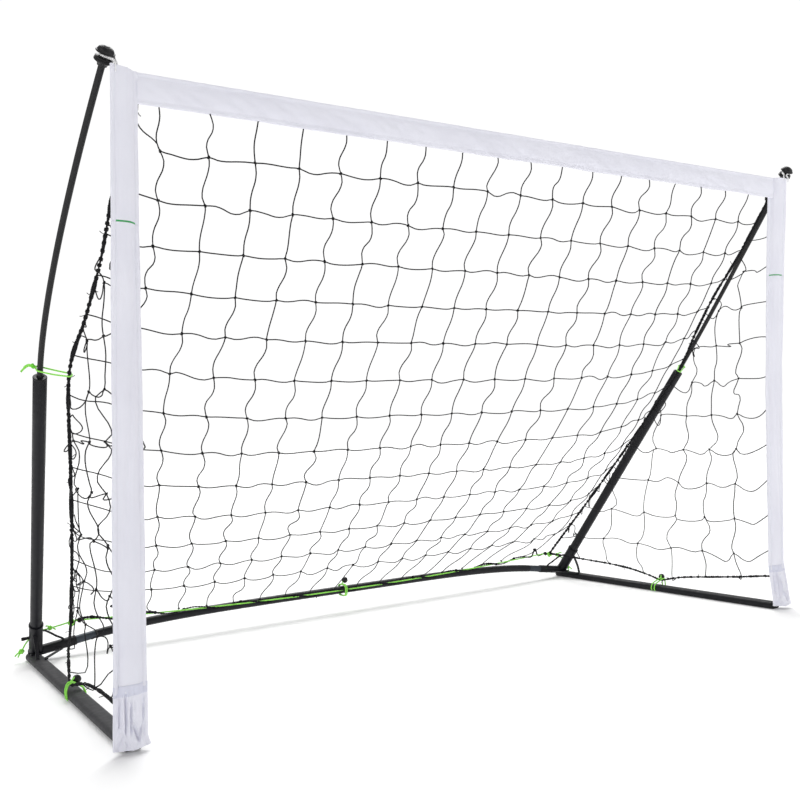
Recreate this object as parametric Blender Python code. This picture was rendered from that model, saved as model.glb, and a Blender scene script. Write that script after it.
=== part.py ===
"""A portable football goal that plugs together: a low steel base, two leaning steel uprights, two fibreglass
bow poles, a white fabric front frame and a knotted net.

Metres, +Z up. +Y points from the open mouth to the rear, +X to the right of someone who looks into the mouth.
The origin is on the ground, in the middle of the goal's bounding box.
"""

import math

import bmesh
import bpy
from mathutils import Matrix, Vector

# Driving dimensions: the base
HALF_WIDTH = 0.900  # centre line of a side tube
BASE_DEPTH = 0.870  # front end of a side tube to the rear bar's axis
MOUTH_Y = -0.3869  # the mouth's foot line, so that the bounding box is centred on the origin
SIDE_TUBE_FRONT = -0.004  # where a side tube ends, measured from the foot line
SIDE_TUBE_WIDTH = 0.036
SIDE_TUBE_HEIGHT = 0.018
SIDE_TUBE_EDGE = 0.0078  # radius of its long edges
SIDE_TUBE_WALL = 0.0018
SIDE_TUBE_OVERHANG = 0.028  # how far it runs on behind the rear bar's axis
BAR_RADIUS = 0.0115
BAR_BORE = 0.0098
BAR_END_Z = 0.023
BAR_RISE = 0.043  # how far the middle of the rear bar stands above its ends
BAR_END_X = 0.745
STUB_RADIUS = 0.0127
STUB_BORE = 0.0112
STUB_END_X = 0.795
FERRULE_RADIUS = 0.0094
FERRULE_COLLAR = 0.0107
FERRULE_BORE = 0.0062
SHOCK_CORD_RADIUS = 0.0025

# Driving dimensions: uprights and bow poles, for the right-hand side, measured from the mouth's foot line
UPRIGHT_FOOT = (0.898, 0.850, 0.050)  # a point on the upright's axis near the ground
UPRIGHT_TOP = (0.965, 0.348, 0.689)
UPRIGHT_RADIUS = 0.0143
UPRIGHT_BORE = 0.0129
SOCKET_RADIUS = 0.0168
SOCKET_BORE = 0.0148
SOCKET_TOP = 0.066  # along the upright's axis from UPRIGHT_FOOT
SOCKET_FLOOR = -0.020
POLE_RADIUS = 0.0060
POLE_INSERTION = 0.150
POLE_BEND = 0.171  # how far the bow's tangent reaches above the upright
POLE_BULGE = (0.957, 0.057, 1.035)
POLE_END = (0.933, -0.091, 1.195)
CAP_RADIUS = 0.0170
PEG_RADIUS = 0.0040

# Driving dimensions: fabric frame
POST_FOOT = (0.908, -0.027)  # the sleeve's middle at the ground, from the centre plane and the foot line
POST_LEAN = (-0.006, -0.069)  # how far it leans in and forward for each metre of height
POST_WIDTH = 0.063  # at the ground
POST_TAPER = 0.006  # loss of width for each metre of height
POST_TURN = (8, 12)  # degrees that its outer edge is turned forward at the ground, and more for each metre
SLEEVE_THICKNESS = 0.012
TOP_Z = 1.191
CROSSBAR_HEIGHT = 0.056
POCKET_FOOT = 0.012
POCKET_TOP = 0.124
HEADER_FOOT = 0.925  # height of the lower edge of the header panels

# Driving dimensions: net, ropes and elastics
NET_THICKNESS = 0.0012
ROPE_RADIUS = 0.0030
ELASTIC_RADIUS = 0.0019
SEAM_LOOP = (0.917, 0.300, 0.692)  # where the pole tie holds the seam rope
SIDE_TIE = (0.910, 0.416, 0.033)  # the side rope's lowest point, tied down to the side tube
REAR_ELASTIC_END = 0.8085

GAP = 0.0004  # between touching solids
FINE = 0.00001  # merge distance
SIDES = (("left", -1), ("right", 1))
ROUND = 20  # sides of a round tube


def place(point, side=1):
    """A point measured from the mouth's foot line, in world coordinates; side -1 mirrors it to the left."""
    return Vector((side * point[0], MOUTH_Y + point[1], point[2]))


def clear_scene():
    for obj in list(bpy.data.objects):
        bpy.data.objects.remove(obj)


def material(name, colour, roughness, metallic=0.0):
    made = bpy.data.materials.new(name)
    made.use_nodes = True
    shader = made.node_tree.nodes["Principled BSDF"]
    shader.inputs["Base Color"].default_value = (*colour, 1.0)
    shader.inputs["Roughness"].default_value = roughness
    shader.inputs["Metallic"].default_value = metallic
    return made


def add_object(name, mesh, finish, parent=None):
    obj = bpy.data.objects.new(name, mesh)
    bpy.context.scene.collection.objects.link(obj)
    mesh.materials.append(finish)
    if parent:
        obj.parent = parent
        obj.matrix_parent_inverse = parent.matrix_world.inverted()
    return obj


def add_empty(name, position):
    """The parent of a moving group, standing on its joint's axis."""
    empty = bpy.data.objects.new(name, None)
    empty.location = position
    bpy.context.scene.collection.objects.link(empty)
    bpy.context.view_layer.update()
    return empty


def mesh_from(name, work, smooth=True):
    """The mesh of a bmesh whose faces are turned outward, shaded smooth except at sharp edges."""
    bmesh.ops.remove_doubles(work, verts=work.verts, dist=FINE)
    bmesh.ops.recalc_face_normals(work, faces=work.faces)
    if work.calc_volume(signed=True) < 0:
        bmesh.ops.reverse_faces(work, faces=work.faces)
    mesh = bpy.data.meshes.new(name)
    work.to_mesh(mesh)
    work.free()
    if smooth:
        mesh.shade_smooth()
        mesh.set_sharp_from_angle(angle=math.radians(40))
    return mesh


def circle(radius, count=ROUND):
    turns = [2 * math.pi * k / count for k in range(count)]
    return [(radius * math.cos(turn), radius * math.sin(turn)) for turn in turns]


def rounded_box(width, height, edge, steps=3):
    """The outline of a rectangle with round corners, width along the first axis."""
    outline = []
    for quarter, (sx, sy) in enumerate(((1, 1), (-1, 1), (-1, -1), (1, -1))):
        for step in range(steps + 1):
            turn = math.pi / 2 * (quarter + step / steps)
            across = sx * (width / 2 - edge) + edge * math.cos(turn)
            up = sy * (height / 2 - edge) + edge * math.sin(turn)
            outline.append((across, up))
    return outline


def section_ring(work, path, index, outline, across):
    """One closed ring of vertices: the outline, set square to the path at one of its points."""
    before = path[max(index - 1, 0)]
    after = path[min(index + 1, len(path) - 1)]
    tangent = (after - before).normalized()
    first = (across - tangent * across.dot(tangent)).normalized()
    second = tangent.cross(first)
    return [work.verts.new(path[index] + first * a + second * b) for a, b in outline]


def bridge(work, ring, following):
    for k in range(len(ring)):
        after = (k + 1) % len(ring)
        work.faces.new((ring[k], ring[after], following[after], following[k]))


def swept(name, path, outlines, finish, across=(1, 0, 0), bore=None, parent=None):
    """A solid swept along a path. outlines is one outline, or one for each point; a bore goes right through."""
    work = bmesh.new()
    across = Vector(across)
    if not isinstance(outlines[0], list):
        outlines = [outlines] * len(path)
    rings = [section_ring(work, path, k, outlines[k], across) for k in range(len(path))]
    for ring, following in zip(rings, rings[1:]):
        bridge(work, ring, following)
    if bore:
        inner = [section_ring(work, path, k, bore, across) for k in range(len(path))]
        for ring, following in zip(inner, inner[1:]):
            bridge(work, following, ring)
        bridge(work, inner[0], rings[0])
        bridge(work, rings[-1], inner[-1])
    else:
        work.faces.new(rings[0])
        work.faces.new(rings[-1])
    return add_object(name, mesh_from(name, work), finish, parent)


def turned(name, outline, origin, direction, finish, parent=None, count=ROUND):
    """A solid turned round the axis through origin; outline is a closed list of (radius, height)."""
    work = bmesh.new()
    verts = [work.verts.new((radius, 0, height)) for radius, height in outline]
    edges = [work.edges.new((verts[k], verts[(k + 1) % len(verts)])) for k in range(len(verts))]
    bmesh.ops.spin(
        work, geom=verts + edges, axis=(0, 0, 1), cent=(0, 0, 0), dvec=(0, 0, 0), angle=2 * math.pi, steps=count
    )
    bmesh.ops.remove_doubles(work, verts=work.verts, dist=FINE)
    loose = [edge for edge in work.edges if not edge.link_faces]
    bmesh.ops.delete(work, geom=loose, context="EDGES")
    turn = Vector(direction).to_track_quat("Z", "Y").to_matrix().to_4x4()
    work.transform(Matrix.Translation(origin) @ turn)
    return add_object(name, mesh_from(name, work), finish, parent)


def cord(name, points, radius, finish, parent=None, resolution=2):
    """A round cord along a smooth route, as a bevelled poly curve with filled caps."""
    curve = bpy.data.curves.new(name, "CURVE")
    curve.dimensions = "3D"
    curve.bevel_depth = radius
    curve.bevel_resolution = resolution
    curve.use_fill_caps = True
    spline = curve.splines.new("POLY")
    spline.points.add(len(points) - 1)
    for knot, point in zip(spline.points, points):
        knot.co = (*point, 1.0)
    curve.materials.append(finish)
    obj = bpy.data.objects.new(name, curve)
    bpy.context.scene.collection.objects.link(obj)
    if parent:
        obj.parent = parent
        obj.matrix_parent_inverse = parent.matrix_world.inverted()
    return obj


def ring_cord(name, route, radius, finish, parent=None):
    """A closed loop of cord through the route's points."""
    work = bmesh.new()
    count = len(route)
    rings = []
    for k in range(count):
        tangent = (route[(k + 1) % count] - route[k - 1]).normalized()
        middle = sum(route, Vector()) / count
        first = (route[k] - middle).normalized()
        first = (first - tangent * first.dot(tangent)).normalized()
        second = tangent.cross(first)
        outline = circle(radius, 6)
        rings.append([work.verts.new(route[k] + first * a + second * b) for a, b in outline])
    for k in range(count):
        bridge(work, rings[k], rings[(k + 1) % count])
    return add_object(name, mesh_from(name, work), finish, parent)


def smooth_route(points, per_span=4):
    """Points along a Catmull-Rom curve through the given points."""
    ends = [2 * points[0] - points[1], *points, 2 * points[-1] - points[-2]]
    route = []
    for k in range(1, len(ends) - 2):
        a, b, c, d = ends[k - 1 : k + 3]
        for step in range(per_span):
            t = step / per_span
            cubic = -a + 3 * b - 3 * c + d
            square = 2 * a - 5 * b + 4 * c - d
            route.append((2 * b + (c - a) * t + square * t**2 + cubic * t**3) / 2)
    route.append(points[-1])
    return route


def bezier(points, count):
    a, b, c, d = points
    route = []
    for k in range(count + 1):
        t = k / count
        s = 1 - t
        route.append(a * s**3 + b * (3 * s * s * t) + c * (3 * s * t * t) + d * t**3)
    return route


def cutter(obj):
    obj.hide_render = True
    obj.display_type = "WIRE"
    return obj


def combine(target, other, operation):
    modifier = target.modifiers.new(operation.title(), "BOOLEAN")
    modifier.operation = operation
    modifier.object = cutter(other)


def upright_axis(side):
    foot = place(UPRIGHT_FOOT, side)
    top = place(UPRIGHT_TOP, side)
    return foot, top, (top - foot).normalized()


def bar_point(x):
    """A point on the rear bar's arched axis."""
    share = min(abs(x) / BASE_DEPTH, 1.0)
    return Vector((x, MOUTH_Y + BASE_DEPTH, BAR_END_Z + BAR_RISE * (1 - share**4.5)))


# Base


def side_tube(name, side, steel, rubber):
    """A flat-sided oval tube, open at the front and rounded in plan at the rear, with its front plug."""
    half = SIDE_TUBE_WIDTH / 2
    rear = MOUTH_Y + BASE_DEPTH + SIDE_TUBE_OVERHANG
    centre = Vector((side * HALF_WIDTH, 0, SIDE_TUBE_HEIGHT / 2))
    front = MOUTH_Y + SIDE_TUBE_FRONT
    path = [Vector((centre.x, front, centre.z)), Vector((centre.x, rear - half, centre.z))]
    outlines = [rounded_box(SIDE_TUBE_WIDTH, SIDE_TUBE_HEIGHT, SIDE_TUBE_EDGE)] * 2
    for turn in (30, 55, 75):
        width = SIDE_TUBE_WIDTH * math.cos(math.radians(turn))
        edge = min(SIDE_TUBE_EDGE, width / 2 * 0.9)
        path.append(Vector((centre.x, rear - half + half * math.sin(math.radians(turn)), centre.z)))
        outlines.append(rounded_box(width, SIDE_TUBE_HEIGHT, edge))
    tube = swept(name + "_side_tube", path, outlines, steel)
    wide = SIDE_TUBE_WIDTH - 2 * SIDE_TUBE_WALL
    high = SIDE_TUBE_HEIGHT - 2 * SIDE_TUBE_WALL
    bore = rounded_box(wide, high, SIDE_TUBE_EDGE - SIDE_TUBE_WALL)
    hollow = [Vector((centre.x, front - 0.01, centre.z)), Vector((centre.x, rear - 1.3 * half, centre.z))]
    combine(tube, swept(name + "_side_tube_bore", hollow, bore, steel), "DIFFERENCE")
    front_plug(name, centre, wide, high, rubber)


def front_plug(name, centre, wide, high, rubber):
    """A head the size of the tube with a spigot that fills its bore."""
    head = rounded_box(SIDE_TUBE_WIDTH, SIDE_TUBE_HEIGHT, SIDE_TUBE_EDGE)
    spigot = rounded_box(wide - 2 * GAP, high - 2 * GAP, SIDE_TUBE_EDGE - SIDE_TUBE_WALL - GAP)
    ys = (-0.0045, -GAP, -GAP, 0.025)
    work = bmesh.new()
    rings = []
    for y, outline in zip(ys, (head, head, spigot, spigot)):
        face = MOUTH_Y + SIDE_TUBE_FRONT + y
        rings.append([work.verts.new((centre.x + a, face, centre.z + b)) for a, b in outline])
    for ring, following in zip(rings, rings[1:]):
        bridge(work, ring, following)
    work.faces.new(rings[0])
    work.faces.new(rings[-1])
    add_object(name + "_front_plug", mesh_from(name + "_front_plug", work), rubber)


def corner_socket(name, side, steel):
    """The upright's socket, its saddle on the side tube and the stub for the rear bar, in one weldment."""
    foot, _, up = upright_axis(side)
    wall = [foot - up * 0.060, foot + up * SOCKET_TOP]
    socket = swept(name + "_corner_socket", wall, circle(SOCKET_RADIUS), steel)
    rim = [foot + up * (SOCKET_TOP - 0.004), foot + up * (SOCKET_TOP + 0.001)]
    combine(socket, swept(name + "_socket_rim", rim, circle(SOCKET_RADIUS + 0.0010), steel), "UNION")
    low = [foot + Vector((0, -0.1, -foot.z)), foot + Vector((0, 0.1, -foot.z))]
    below = rounded_box(0.20, 2 * (SIDE_TUBE_HEIGHT + GAP), 0.001, 1)
    combine(socket, swept(name + "_socket_foot_cut", low, below, steel), "DIFFERENCE")
    inner = foot + up * -0.012
    stub_end = bar_point(side * STUB_END_X)
    stub = [Vector((inner.x, stub_end.y, BAR_END_Z)), stub_end]
    combine(socket, swept(name + "_stub", stub, circle(STUB_RADIUS), steel, across=(0, 1, 0)), "UNION")
    plate_z = SIDE_TUBE_HEIGHT + GAP + 0.0015
    base = foot + up * ((plate_z - foot.z) / up.z)
    plate = [base - Vector((0, 0.028, 0)), base + Vector((0, 0.020, 0))]
    saddle = rounded_box(SIDE_TUBE_WIDTH - 0.004, 0.003, 0.0012, 2)
    combine(socket, swept(name + "_saddle", plate, saddle, steel), "UNION")
    cope = [Vector((side * HALF_WIDTH, foot.y + shift, 0)) for shift in (-0.1, 0.1)]
    room = rounded_box(SIDE_TUBE_WIDTH + 2 * GAP, 2 * (SIDE_TUBE_HEIGHT + GAP), 0.001, 1)
    combine(socket, swept(name + "_stub_cope", cope, room, steel), "DIFFERENCE")
    bore = [foot + up * SOCKET_FLOOR, foot + up * (SOCKET_TOP + 0.02)]
    combine(socket, swept(name + "_socket_bore", bore, circle(SOCKET_BORE), steel), "DIFFERENCE")
    along = (stub[1] - stub[0]).normalized()
    hollow = [stub[0] + along * 0.024, stub[1] + along * 0.01]
    combine(socket, swept(name + "_stub_bore", hollow, circle(STUB_BORE), steel, across=(0, 1, 0)), "DIFFERENCE")
    centre, out = peg_axis(side)
    hole = [centre, centre + out * 0.05]
    combine(socket, swept(name + "_peg_hole", hole, circle(PEG_RADIUS + GAP), steel, across=(0, 1, 0)), "DIFFERENCE")


def peg_axis(side):
    """A point on the upright's axis and the level direction out of the goal, for the stop peg."""
    foot, _, up = upright_axis(side)
    outward = Vector((side, 0, 0))
    return foot + up * 0.022, (outward - up * outward.dot(up)).normalized()


def stop_peg(name, side, rubber):
    centre, out = peg_axis(side)
    near = UPRIGHT_RADIUS + GAP
    outline = [(0, near), (PEG_RADIUS, near), (PEG_RADIUS, near + 0.012), (0.0046, near + 0.0125)]
    outline += [(0.0046, near + 0.0185), (0.0036, near + 0.0200), (0, near + 0.0200)]
    parent = add_empty(name + "_peg_pivot", centre)
    turned(name + "_stop_peg", outline, centre, out, rubber, parent, 12)


def corner_brace(name, side, steel):
    """A flat strip from the side tube's upper face to the front of the stub."""
    ends = [(0.8880, 0.772, 0.0205), (0.8875, 0.784, 0.0205), (0.8390, 0.847, 0.0235), (0.8345, 0.8525, 0.0240)]
    path = [place(end, side) for end in ends]
    swept(name + "_corner_brace", path, rounded_box(0.0036, 0.008, 0.001, 2), steel, across=(0, 0, 1))


def stub_ferrule(name, side, steel):
    """The spigot that joins a stub to a half of the rear bar, with a raised collar in the gap between them."""
    stub_side = side * (STUB_END_X + 0.018)
    xs = (stub_side, side * (STUB_END_X - GAP), side * (STUB_END_X - GAP), side * (BAR_END_X + GAP))
    xs += (side * (BAR_END_X + GAP), side * (BAR_END_X - 0.035))
    radii = (FERRULE_RADIUS + 0.0006, FERRULE_RADIUS + 0.0006, FERRULE_COLLAR, FERRULE_COLLAR)
    radii += (FERRULE_RADIUS, FERRULE_RADIUS)
    stepped_tube(name + "_stub_ferrule", xs, radii, steel)


def stepped_tube(name, xs, radii, finish):
    """A tube along the rear bar's axis whose outside changes at the given places."""
    work = bmesh.new()
    slope = (bar_point(xs[-1]) - bar_point(xs[0])).normalized()
    first = Vector((0, 1, 0))
    second = slope.cross(first)
    rings = []
    for x, radius in zip(xs, radii):
        centre = bar_point(x)
        rings.append([work.verts.new(centre + first * a + second * b) for a, b in circle(radius)])
    ends = []
    for x in (xs[0], xs[-1]):
        centre = bar_point(x)
        ends.append([work.verts.new(centre + first * a + second * b) for a, b in circle(FERRULE_BORE)])
    for ring, following in zip(rings, rings[1:]):
        bridge(work, ring, following)
    bridge(work, rings[-1], ends[1])
    bridge(work, ends[1], ends[0])
    bridge(work, ends[0], rings[0])
    add_object(name, mesh_from(name, work), finish)


def rear_bar(steel, bright):
    """Two arched halves, and the ferrule that joins them at the middle."""
    for name, side in SIDES:
        xs = [side * (BAR_END_X * k / 12 + 0.0006 * (1 - k / 12)) for k in range(13)]
        path = [bar_point(x) for x in xs]
        tube = circle(BAR_RADIUS)
        swept(f"rear_bar_{name}_half", path, tube, steel, across=(0, 1, 0), bore=circle(BAR_BORE))
    stepped_tube("rear_bar_middle_ferrule", (-0.045, 0.045), (FERRULE_RADIUS, FERRULE_RADIUS), bright)


def shock_cord(elastic):
    xs = [-0.860 + 1.720 * k / 20 for k in range(21)]
    cord("rear_bar_shock_cord", [bar_point(x) for x in xs], SHOCK_CORD_RADIUS, elastic)


# Uprights and bow poles


def upright(name, side, steel, plastic):
    foot, top, up = upright_axis(side)
    start = foot + up * (SOCKET_FLOOR + 0.0025)
    parent = add_empty(name + "_upright_pivot", start)
    wall = circle(UPRIGHT_RADIUS)
    swept(name + "_upright_tube", [start, top], wall, steel, bore=circle(UPRIGHT_BORE), parent=parent)
    core = UPRIGHT_BORE - GAP
    disc = [(0, -0.0021), (UPRIGHT_RADIUS, -0.0021), (UPRIGHT_RADIUS, -GAP), (core, -GAP), (core, 0.018), (0, 0.018)]
    turned(name + "_upright_foot_plug", disc, start, up, plastic, parent)
    hole = POLE_RADIUS + GAP
    bush = [(hole, -0.030), (core, -0.030), (core, GAP), (UPRIGHT_RADIUS, GAP), (UPRIGHT_RADIUS + 0.0004, 0.0020)]
    bush += [(UPRIGHT_RADIUS - 0.0012, 0.0042), (hole + 0.0022, 0.0042), (hole, 0.0015)]
    turned(name + "_upright_bush", bush, top, up, plastic, parent)
    seat = [(0, 0), (core, 0), (core, 0.014), (0, 0.014)]
    turned(name + "_pole_seat", seat, top - up * (POLE_INSERTION + 0.0145), up, plastic, parent)
    return parent


def bow_route(side):
    """The bow pole's axis from just above the upright to its upper end."""
    _, top, up = upright_axis(side)
    return bezier([top + up * 0.004, top + up * POLE_BEND, place(POLE_BULGE, side), place(POLE_END, side)], 16)


def bow_pole(name, side, fibre, plastic):
    """A rod that is straight inside the upright and bows above it, with its two-part cap."""
    _, top, up = upright_axis(side)
    low = top - up * POLE_INSERTION
    above = bow_route(side)
    parent = add_empty(name + "_pole_pivot", low)
    swept(name + "_bow_pole", [low, top - up * 0.05, *above], circle(POLE_RADIUS, 12), fibre, parent=parent)
    end = above[-1]
    along = (above[-1] - above[-2]).normalized()
    cap(name, end, along, plastic, parent)


def cap(name, end, along, plastic, parent):
    """A flared base that the pole ends in, with a neck, and a domed cap above the neck."""
    neck = 0.0068
    base = [(0, GAP), (0.0085, GAP), (0.0090, 0.0030), (0.0155, 0.0085), (CAP_RADIUS - 0.0004, 0.0105)]
    base += [(CAP_RADIUS - 0.0004, 0.0122), (0.0145, 0.0130), (0.0150, 0.0146), (CAP_RADIUS - 0.0012, 0.0155)]
    base += [(CAP_RADIUS - 0.0014, 0.0168), (0.0120, 0.0176), (neck, 0.0176), (neck, 0.0236), (0, 0.0236)]
    turned(name + "_cap_base", base, end, along, plastic, parent, 16)
    low = 0.0240
    dome = [(0, low), (0.0130, low), (CAP_RADIUS, low + 0.0006), (CAP_RADIUS, low + 0.0022)]
    for k in range(1, 6):
        turn = math.radians(18 * k)
        dome.append((0.0142 * math.cos(turn) if k < 5 else 0, low + 0.0030 + 0.0098 * math.sin(turn)))
    turned(name + "_cap_dome", dome, end, along, plastic, parent, 16)


# Fabric front frame


def post_middle(z):
    """The sleeve's middle at a height, for the right-hand post."""
    return (POST_FOOT[0] + POST_LEAN[0] * z, POST_FOOT[1] + POST_LEAN[1] * z, z)


def post_outline(z, side, depth=SLEEVE_THICKNESS, spread=0.0):
    """The sleeve's flat section, its outer edge turned forward; a greater depth grows to the rear only."""
    turn = math.radians(POST_TURN[0] + POST_TURN[1] * z)
    outline = []
    for a, b in rounded_box(POST_WIDTH - POST_TAPER * z + spread, depth, 0.0055):
        b += (depth - SLEEVE_THICKNESS) / 2
        across = a * math.cos(turn) + side * b * math.sin(turn)
        outline.append((across, b * math.cos(turn) - side * a * math.sin(turn)))
    return outline


def post_fabric(name, side, cloth):
    """The sleeve of one post: foot pocket over the side tube's end, plain sleeve, and header panel."""
    sleeve = ("post_sleeve", POCKET_TOP + 4 * GAP, HEADER_FOOT - GAP)
    for piece, low, high in (sleeve, ("header_panel", HEADER_FOOT, TOP_Z)):
        heights = [low + (high - low) * k / 4 for k in range(5)]
        path = [place(post_middle(z), side) for z in heights]
        swept(f"{name}_{piece}", path, [post_outline(z, side) for z in heights], cloth)
    foot_pocket(name, side, cloth)


def foot_pocket(name, side, cloth):
    """A cup of cloth, open to the rear below, that the side tube's front end stands in."""
    steps = [(POCKET_FOOT, 0.042), (0.028, 0.040), (0.048, 0.027), (0.078, 0.015)]
    steps.append((POCKET_TOP, SLEEVE_THICKNESS))
    path = [place(post_middle(z), side) for z, _ in steps]
    outlines = [post_outline(z, side, depth, -0.003 * (depth > 0.03)) for z, depth in steps]
    pocket = swept(name + "_foot_pocket", path, outlines, cloth)
    room = rounded_box(SIDE_TUBE_WIDTH + 0.002, 2 * SIDE_TUBE_HEIGHT + 0.002, SIDE_TUBE_EDGE)
    near = MOUTH_Y + SIDE_TUBE_FRONT - 0.0055
    hollow = [Vector((side * HALF_WIDTH, near, 0)), Vector((side * HALF_WIDTH, near + 0.2, 0))]
    combine(pocket, swept(name + "_pocket_room", hollow, room, cloth), "DIFFERENCE")


def crossbar_fabric(cloth):
    """A flat sleeve between the posts, level with the header panels' upper edges."""
    middle = post_middle(TOP_Z - CROSSBAR_HEIGHT / 2)
    reach = middle[0] - POST_WIDTH / 2 + 0.0015
    path = [place((x, middle[1] + 0.0090, middle[2])) for x in (-reach, 0.0, reach)]
    lean = Vector((0, POST_LEAN[1], 1)).normalized()
    swept("crossbar_sleeve", path, rounded_box(CROSSBAR_HEIGHT, 0.008, 0.0038), cloth, across=lean)


def corner_loop(name, side, webbing):
    """Webbing from the frame's top corner round the neck of the cap."""
    rod = bow_route(side)
    along = (rod[-1] - rod[-2]).normalized()
    centre = rod[-1] + along * 0.0206
    inward = Vector((-side, -0.1, -0.7))
    inward = (inward - along * inward.dot(along)).normalized()
    sideways = along.cross(inward)
    route = []
    for k in range(13):
        turn = math.radians(60 + 240 * k / 12)
        route.append(centre + (inward * math.cos(turn) + sideways * math.sin(turn)) * 0.0092)
    corner = place(post_middle(TOP_Z + 0.0010), side) + Vector((side * 0.0140, -0.0055, 0))
    tail = corner - centre
    for edge, place_in in ((-1, 0), (1, len(route) + 1)):
        route.insert(place_in, centre + inward * 0.016 - sideways * edge * 0.0062 + tail * 0.1)
    work = bmesh.new()
    rings = []
    for k, point in enumerate(route):
        before = route[max(k - 1, 0)]
        after = route[min(k + 1, len(route) - 1)]
        out = (after - before).normalized().cross(along).normalized()
        rings.append([work.verts.new(point + out * a + along * b) for a, b in rounded_box(0.0016, 0.0045, 0.0006, 1)])
    for ring, following in zip(rings, rings[1:]):
        bridge(work, ring, following)
    work.faces.new(rings[0])
    work.faces.new(rings[-1])
    loop = add_object(name + "_corner_loop", mesh_from(name + "_corner_loop", work), webbing)
    neck = centre + inward * 0.0150
    strap = [neck, (neck + corner) / 2 + Vector((0, 0, 0.001)), corner]
    combine(loop, swept(name + "_strap", strap, rounded_box(0.0150, 0.0018, 0.0006, 1), webbing, sideways), "UNION")


# Net, ropes and elastics


def thin_solid(name, grid, offset, cloth):
    """A closed solid either side of a grid of points, with the same diagonals on both faces."""
    work = bmesh.new()
    faces = [[[work.verts.new(p + shift) for p in row] for row in grid] for shift in (offset, -offset)]
    rows = len(grid) - 1
    columns = len(grid[0]) - 1
    for j in range(rows):
        for i in range(columns):
            for face in faces:
                work.faces.new((face[j][i], face[j][i + 1], face[j + 1][i + 1]))
                work.faces.new((face[j][i], face[j + 1][i + 1], face[j + 1][i]))
    rim = [(0, i) for i in range(columns)] + [(j, columns) for j in range(rows)]
    rim += [(rows, i) for i in range(columns, 0, -1)] + [(j, 0) for j in range(rows, 0, -1)]
    front, back = faces
    for (j, i), (m, n) in zip(rim, rim[1:] + rim[:1]):
        work.faces.new((front[j][i], front[m][n], back[m][n], back[j][i]))
    add_object(name, mesh_from(name, work, smooth=False), cloth)


def seam_route(side):
    """The rope between back and side net, from the crossbar's end down to the net's rear corner."""
    points = [(0.874, -0.080, 1.128), (0.891, 0.022, 1.000), (0.893, 0.112, 0.900), (0.903, 0.202, 0.800)]
    points += [SEAM_LOOP, (0.884, 0.463, 0.500), (0.8475, 0.6405, 0.300), (0.8155, 0.8215, 0.106)]
    return smooth_route([place(p, side) for p in points])


def side_route(side):
    """The side net's foot rope, from behind the foot pocket down to its tie and up to the net's rear corner."""
    points = [(0.925, -0.018, 0.087), (0.922, 0.032, 0.0835), (0.913, 0.110, 0.0745), (0.9055, 0.200, 0.0655)]
    points += [(0.902, 0.3115, 0.0535), (0.906, 0.370, 0.0425), SIDE_TIE, (0.9045, 0.452, 0.043)]
    points += [(0.889, 0.525, 0.061), (0.872, 0.600, 0.0715), (0.853, 0.674, 0.0785), (0.823, 0.795, 0.0895)]
    return smooth_route([place(p, side) for p in points], 3)


def net_panels(twine):
    """The back panel hangs between the seam ropes; the side panels stand between post and seam rope."""
    seam = seam_route(1)
    back = []
    for point in seam[2:-1:3] + seam[-1:]:
        half = point.x - 0.008
        back.append([Vector((half * (i / 4 - 1), point.y + 0.001, point.z)) for i in range(9)])
    thin_solid("back_net", back, Vector((0, 0.75, 0.66)) * NET_THICKNESS / 2, twine)
    front = [(0.881, -0.078, 1.085), (0.882, -0.060, 0.890), (0.884, -0.022, 0.700), (0.886, 0.006, 0.420)]
    front.append((0.892, 0.036, 0.088))
    for name, side in SIDES:
        edge = [place(p, side) for p in front]
        seam = seam_route(side)
        rear = [seam[k] + Vector((-0.004 * side, -0.010, 0.001)) for k in (2, 8, 16, 22, 27)]
        grid = [[near, near.lerp(far, 0.5), far] for near, far in zip(edge, rear)]
        thin_solid(name + "_side_net", grid, Vector((NET_THICKNESS / 2, 0, 0)), twine)


def border_ropes(twine):
    for name, side in SIDES:
        cord(name + "_seam_rope", seam_route(side), ROPE_RADIUS, twine)
        cord(name + "_side_rope", side_route(side), ROPE_RADIUS, twine)
    count = 77
    turns = 11
    rope = []
    for k in range(count + 1):
        x = -0.780 + 1.560 * k / count
        turn = 2 * math.pi * turns * k / count
        wind = ELASTIC_RADIUS + ROPE_RADIUS * 0.8 + 0.0010
        rope.append(elastic_point(x) + Vector((0, math.cos(turn), math.sin(turn))) * wind)
    cord("rear_rope", rope, ROPE_RADIUS * 0.8, twine, resolution=1)


def elastic_point(x):
    """The green cord hangs from corner to corner, close to the rear bar, and comes forward at its ends."""
    forward = 0.0130 * max(0.0, (abs(x) - 0.760) / (REAR_ELASTIC_END - 0.760)) ** 2
    return Vector((x, MOUTH_Y + BASE_DEPTH - 0.0205 - forward, 0.068 + 0.024 * (x / 0.80) ** 2))


def elastics(green, black, plastic):
    xs = [REAR_ELASTIC_END * (k / 16 - 1) for k in range(33)]
    cord("rear_elastic", [elastic_point(x) for x in xs], ELASTIC_RADIUS, green)
    for name, side in SIDES:
        pole_tie(name, side, green)
        corner_tie(name, side, green)
        corner_cord(name, side, black)
        side_tie(name, side, green, plastic)
    middle_tie(green, plastic)


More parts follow.
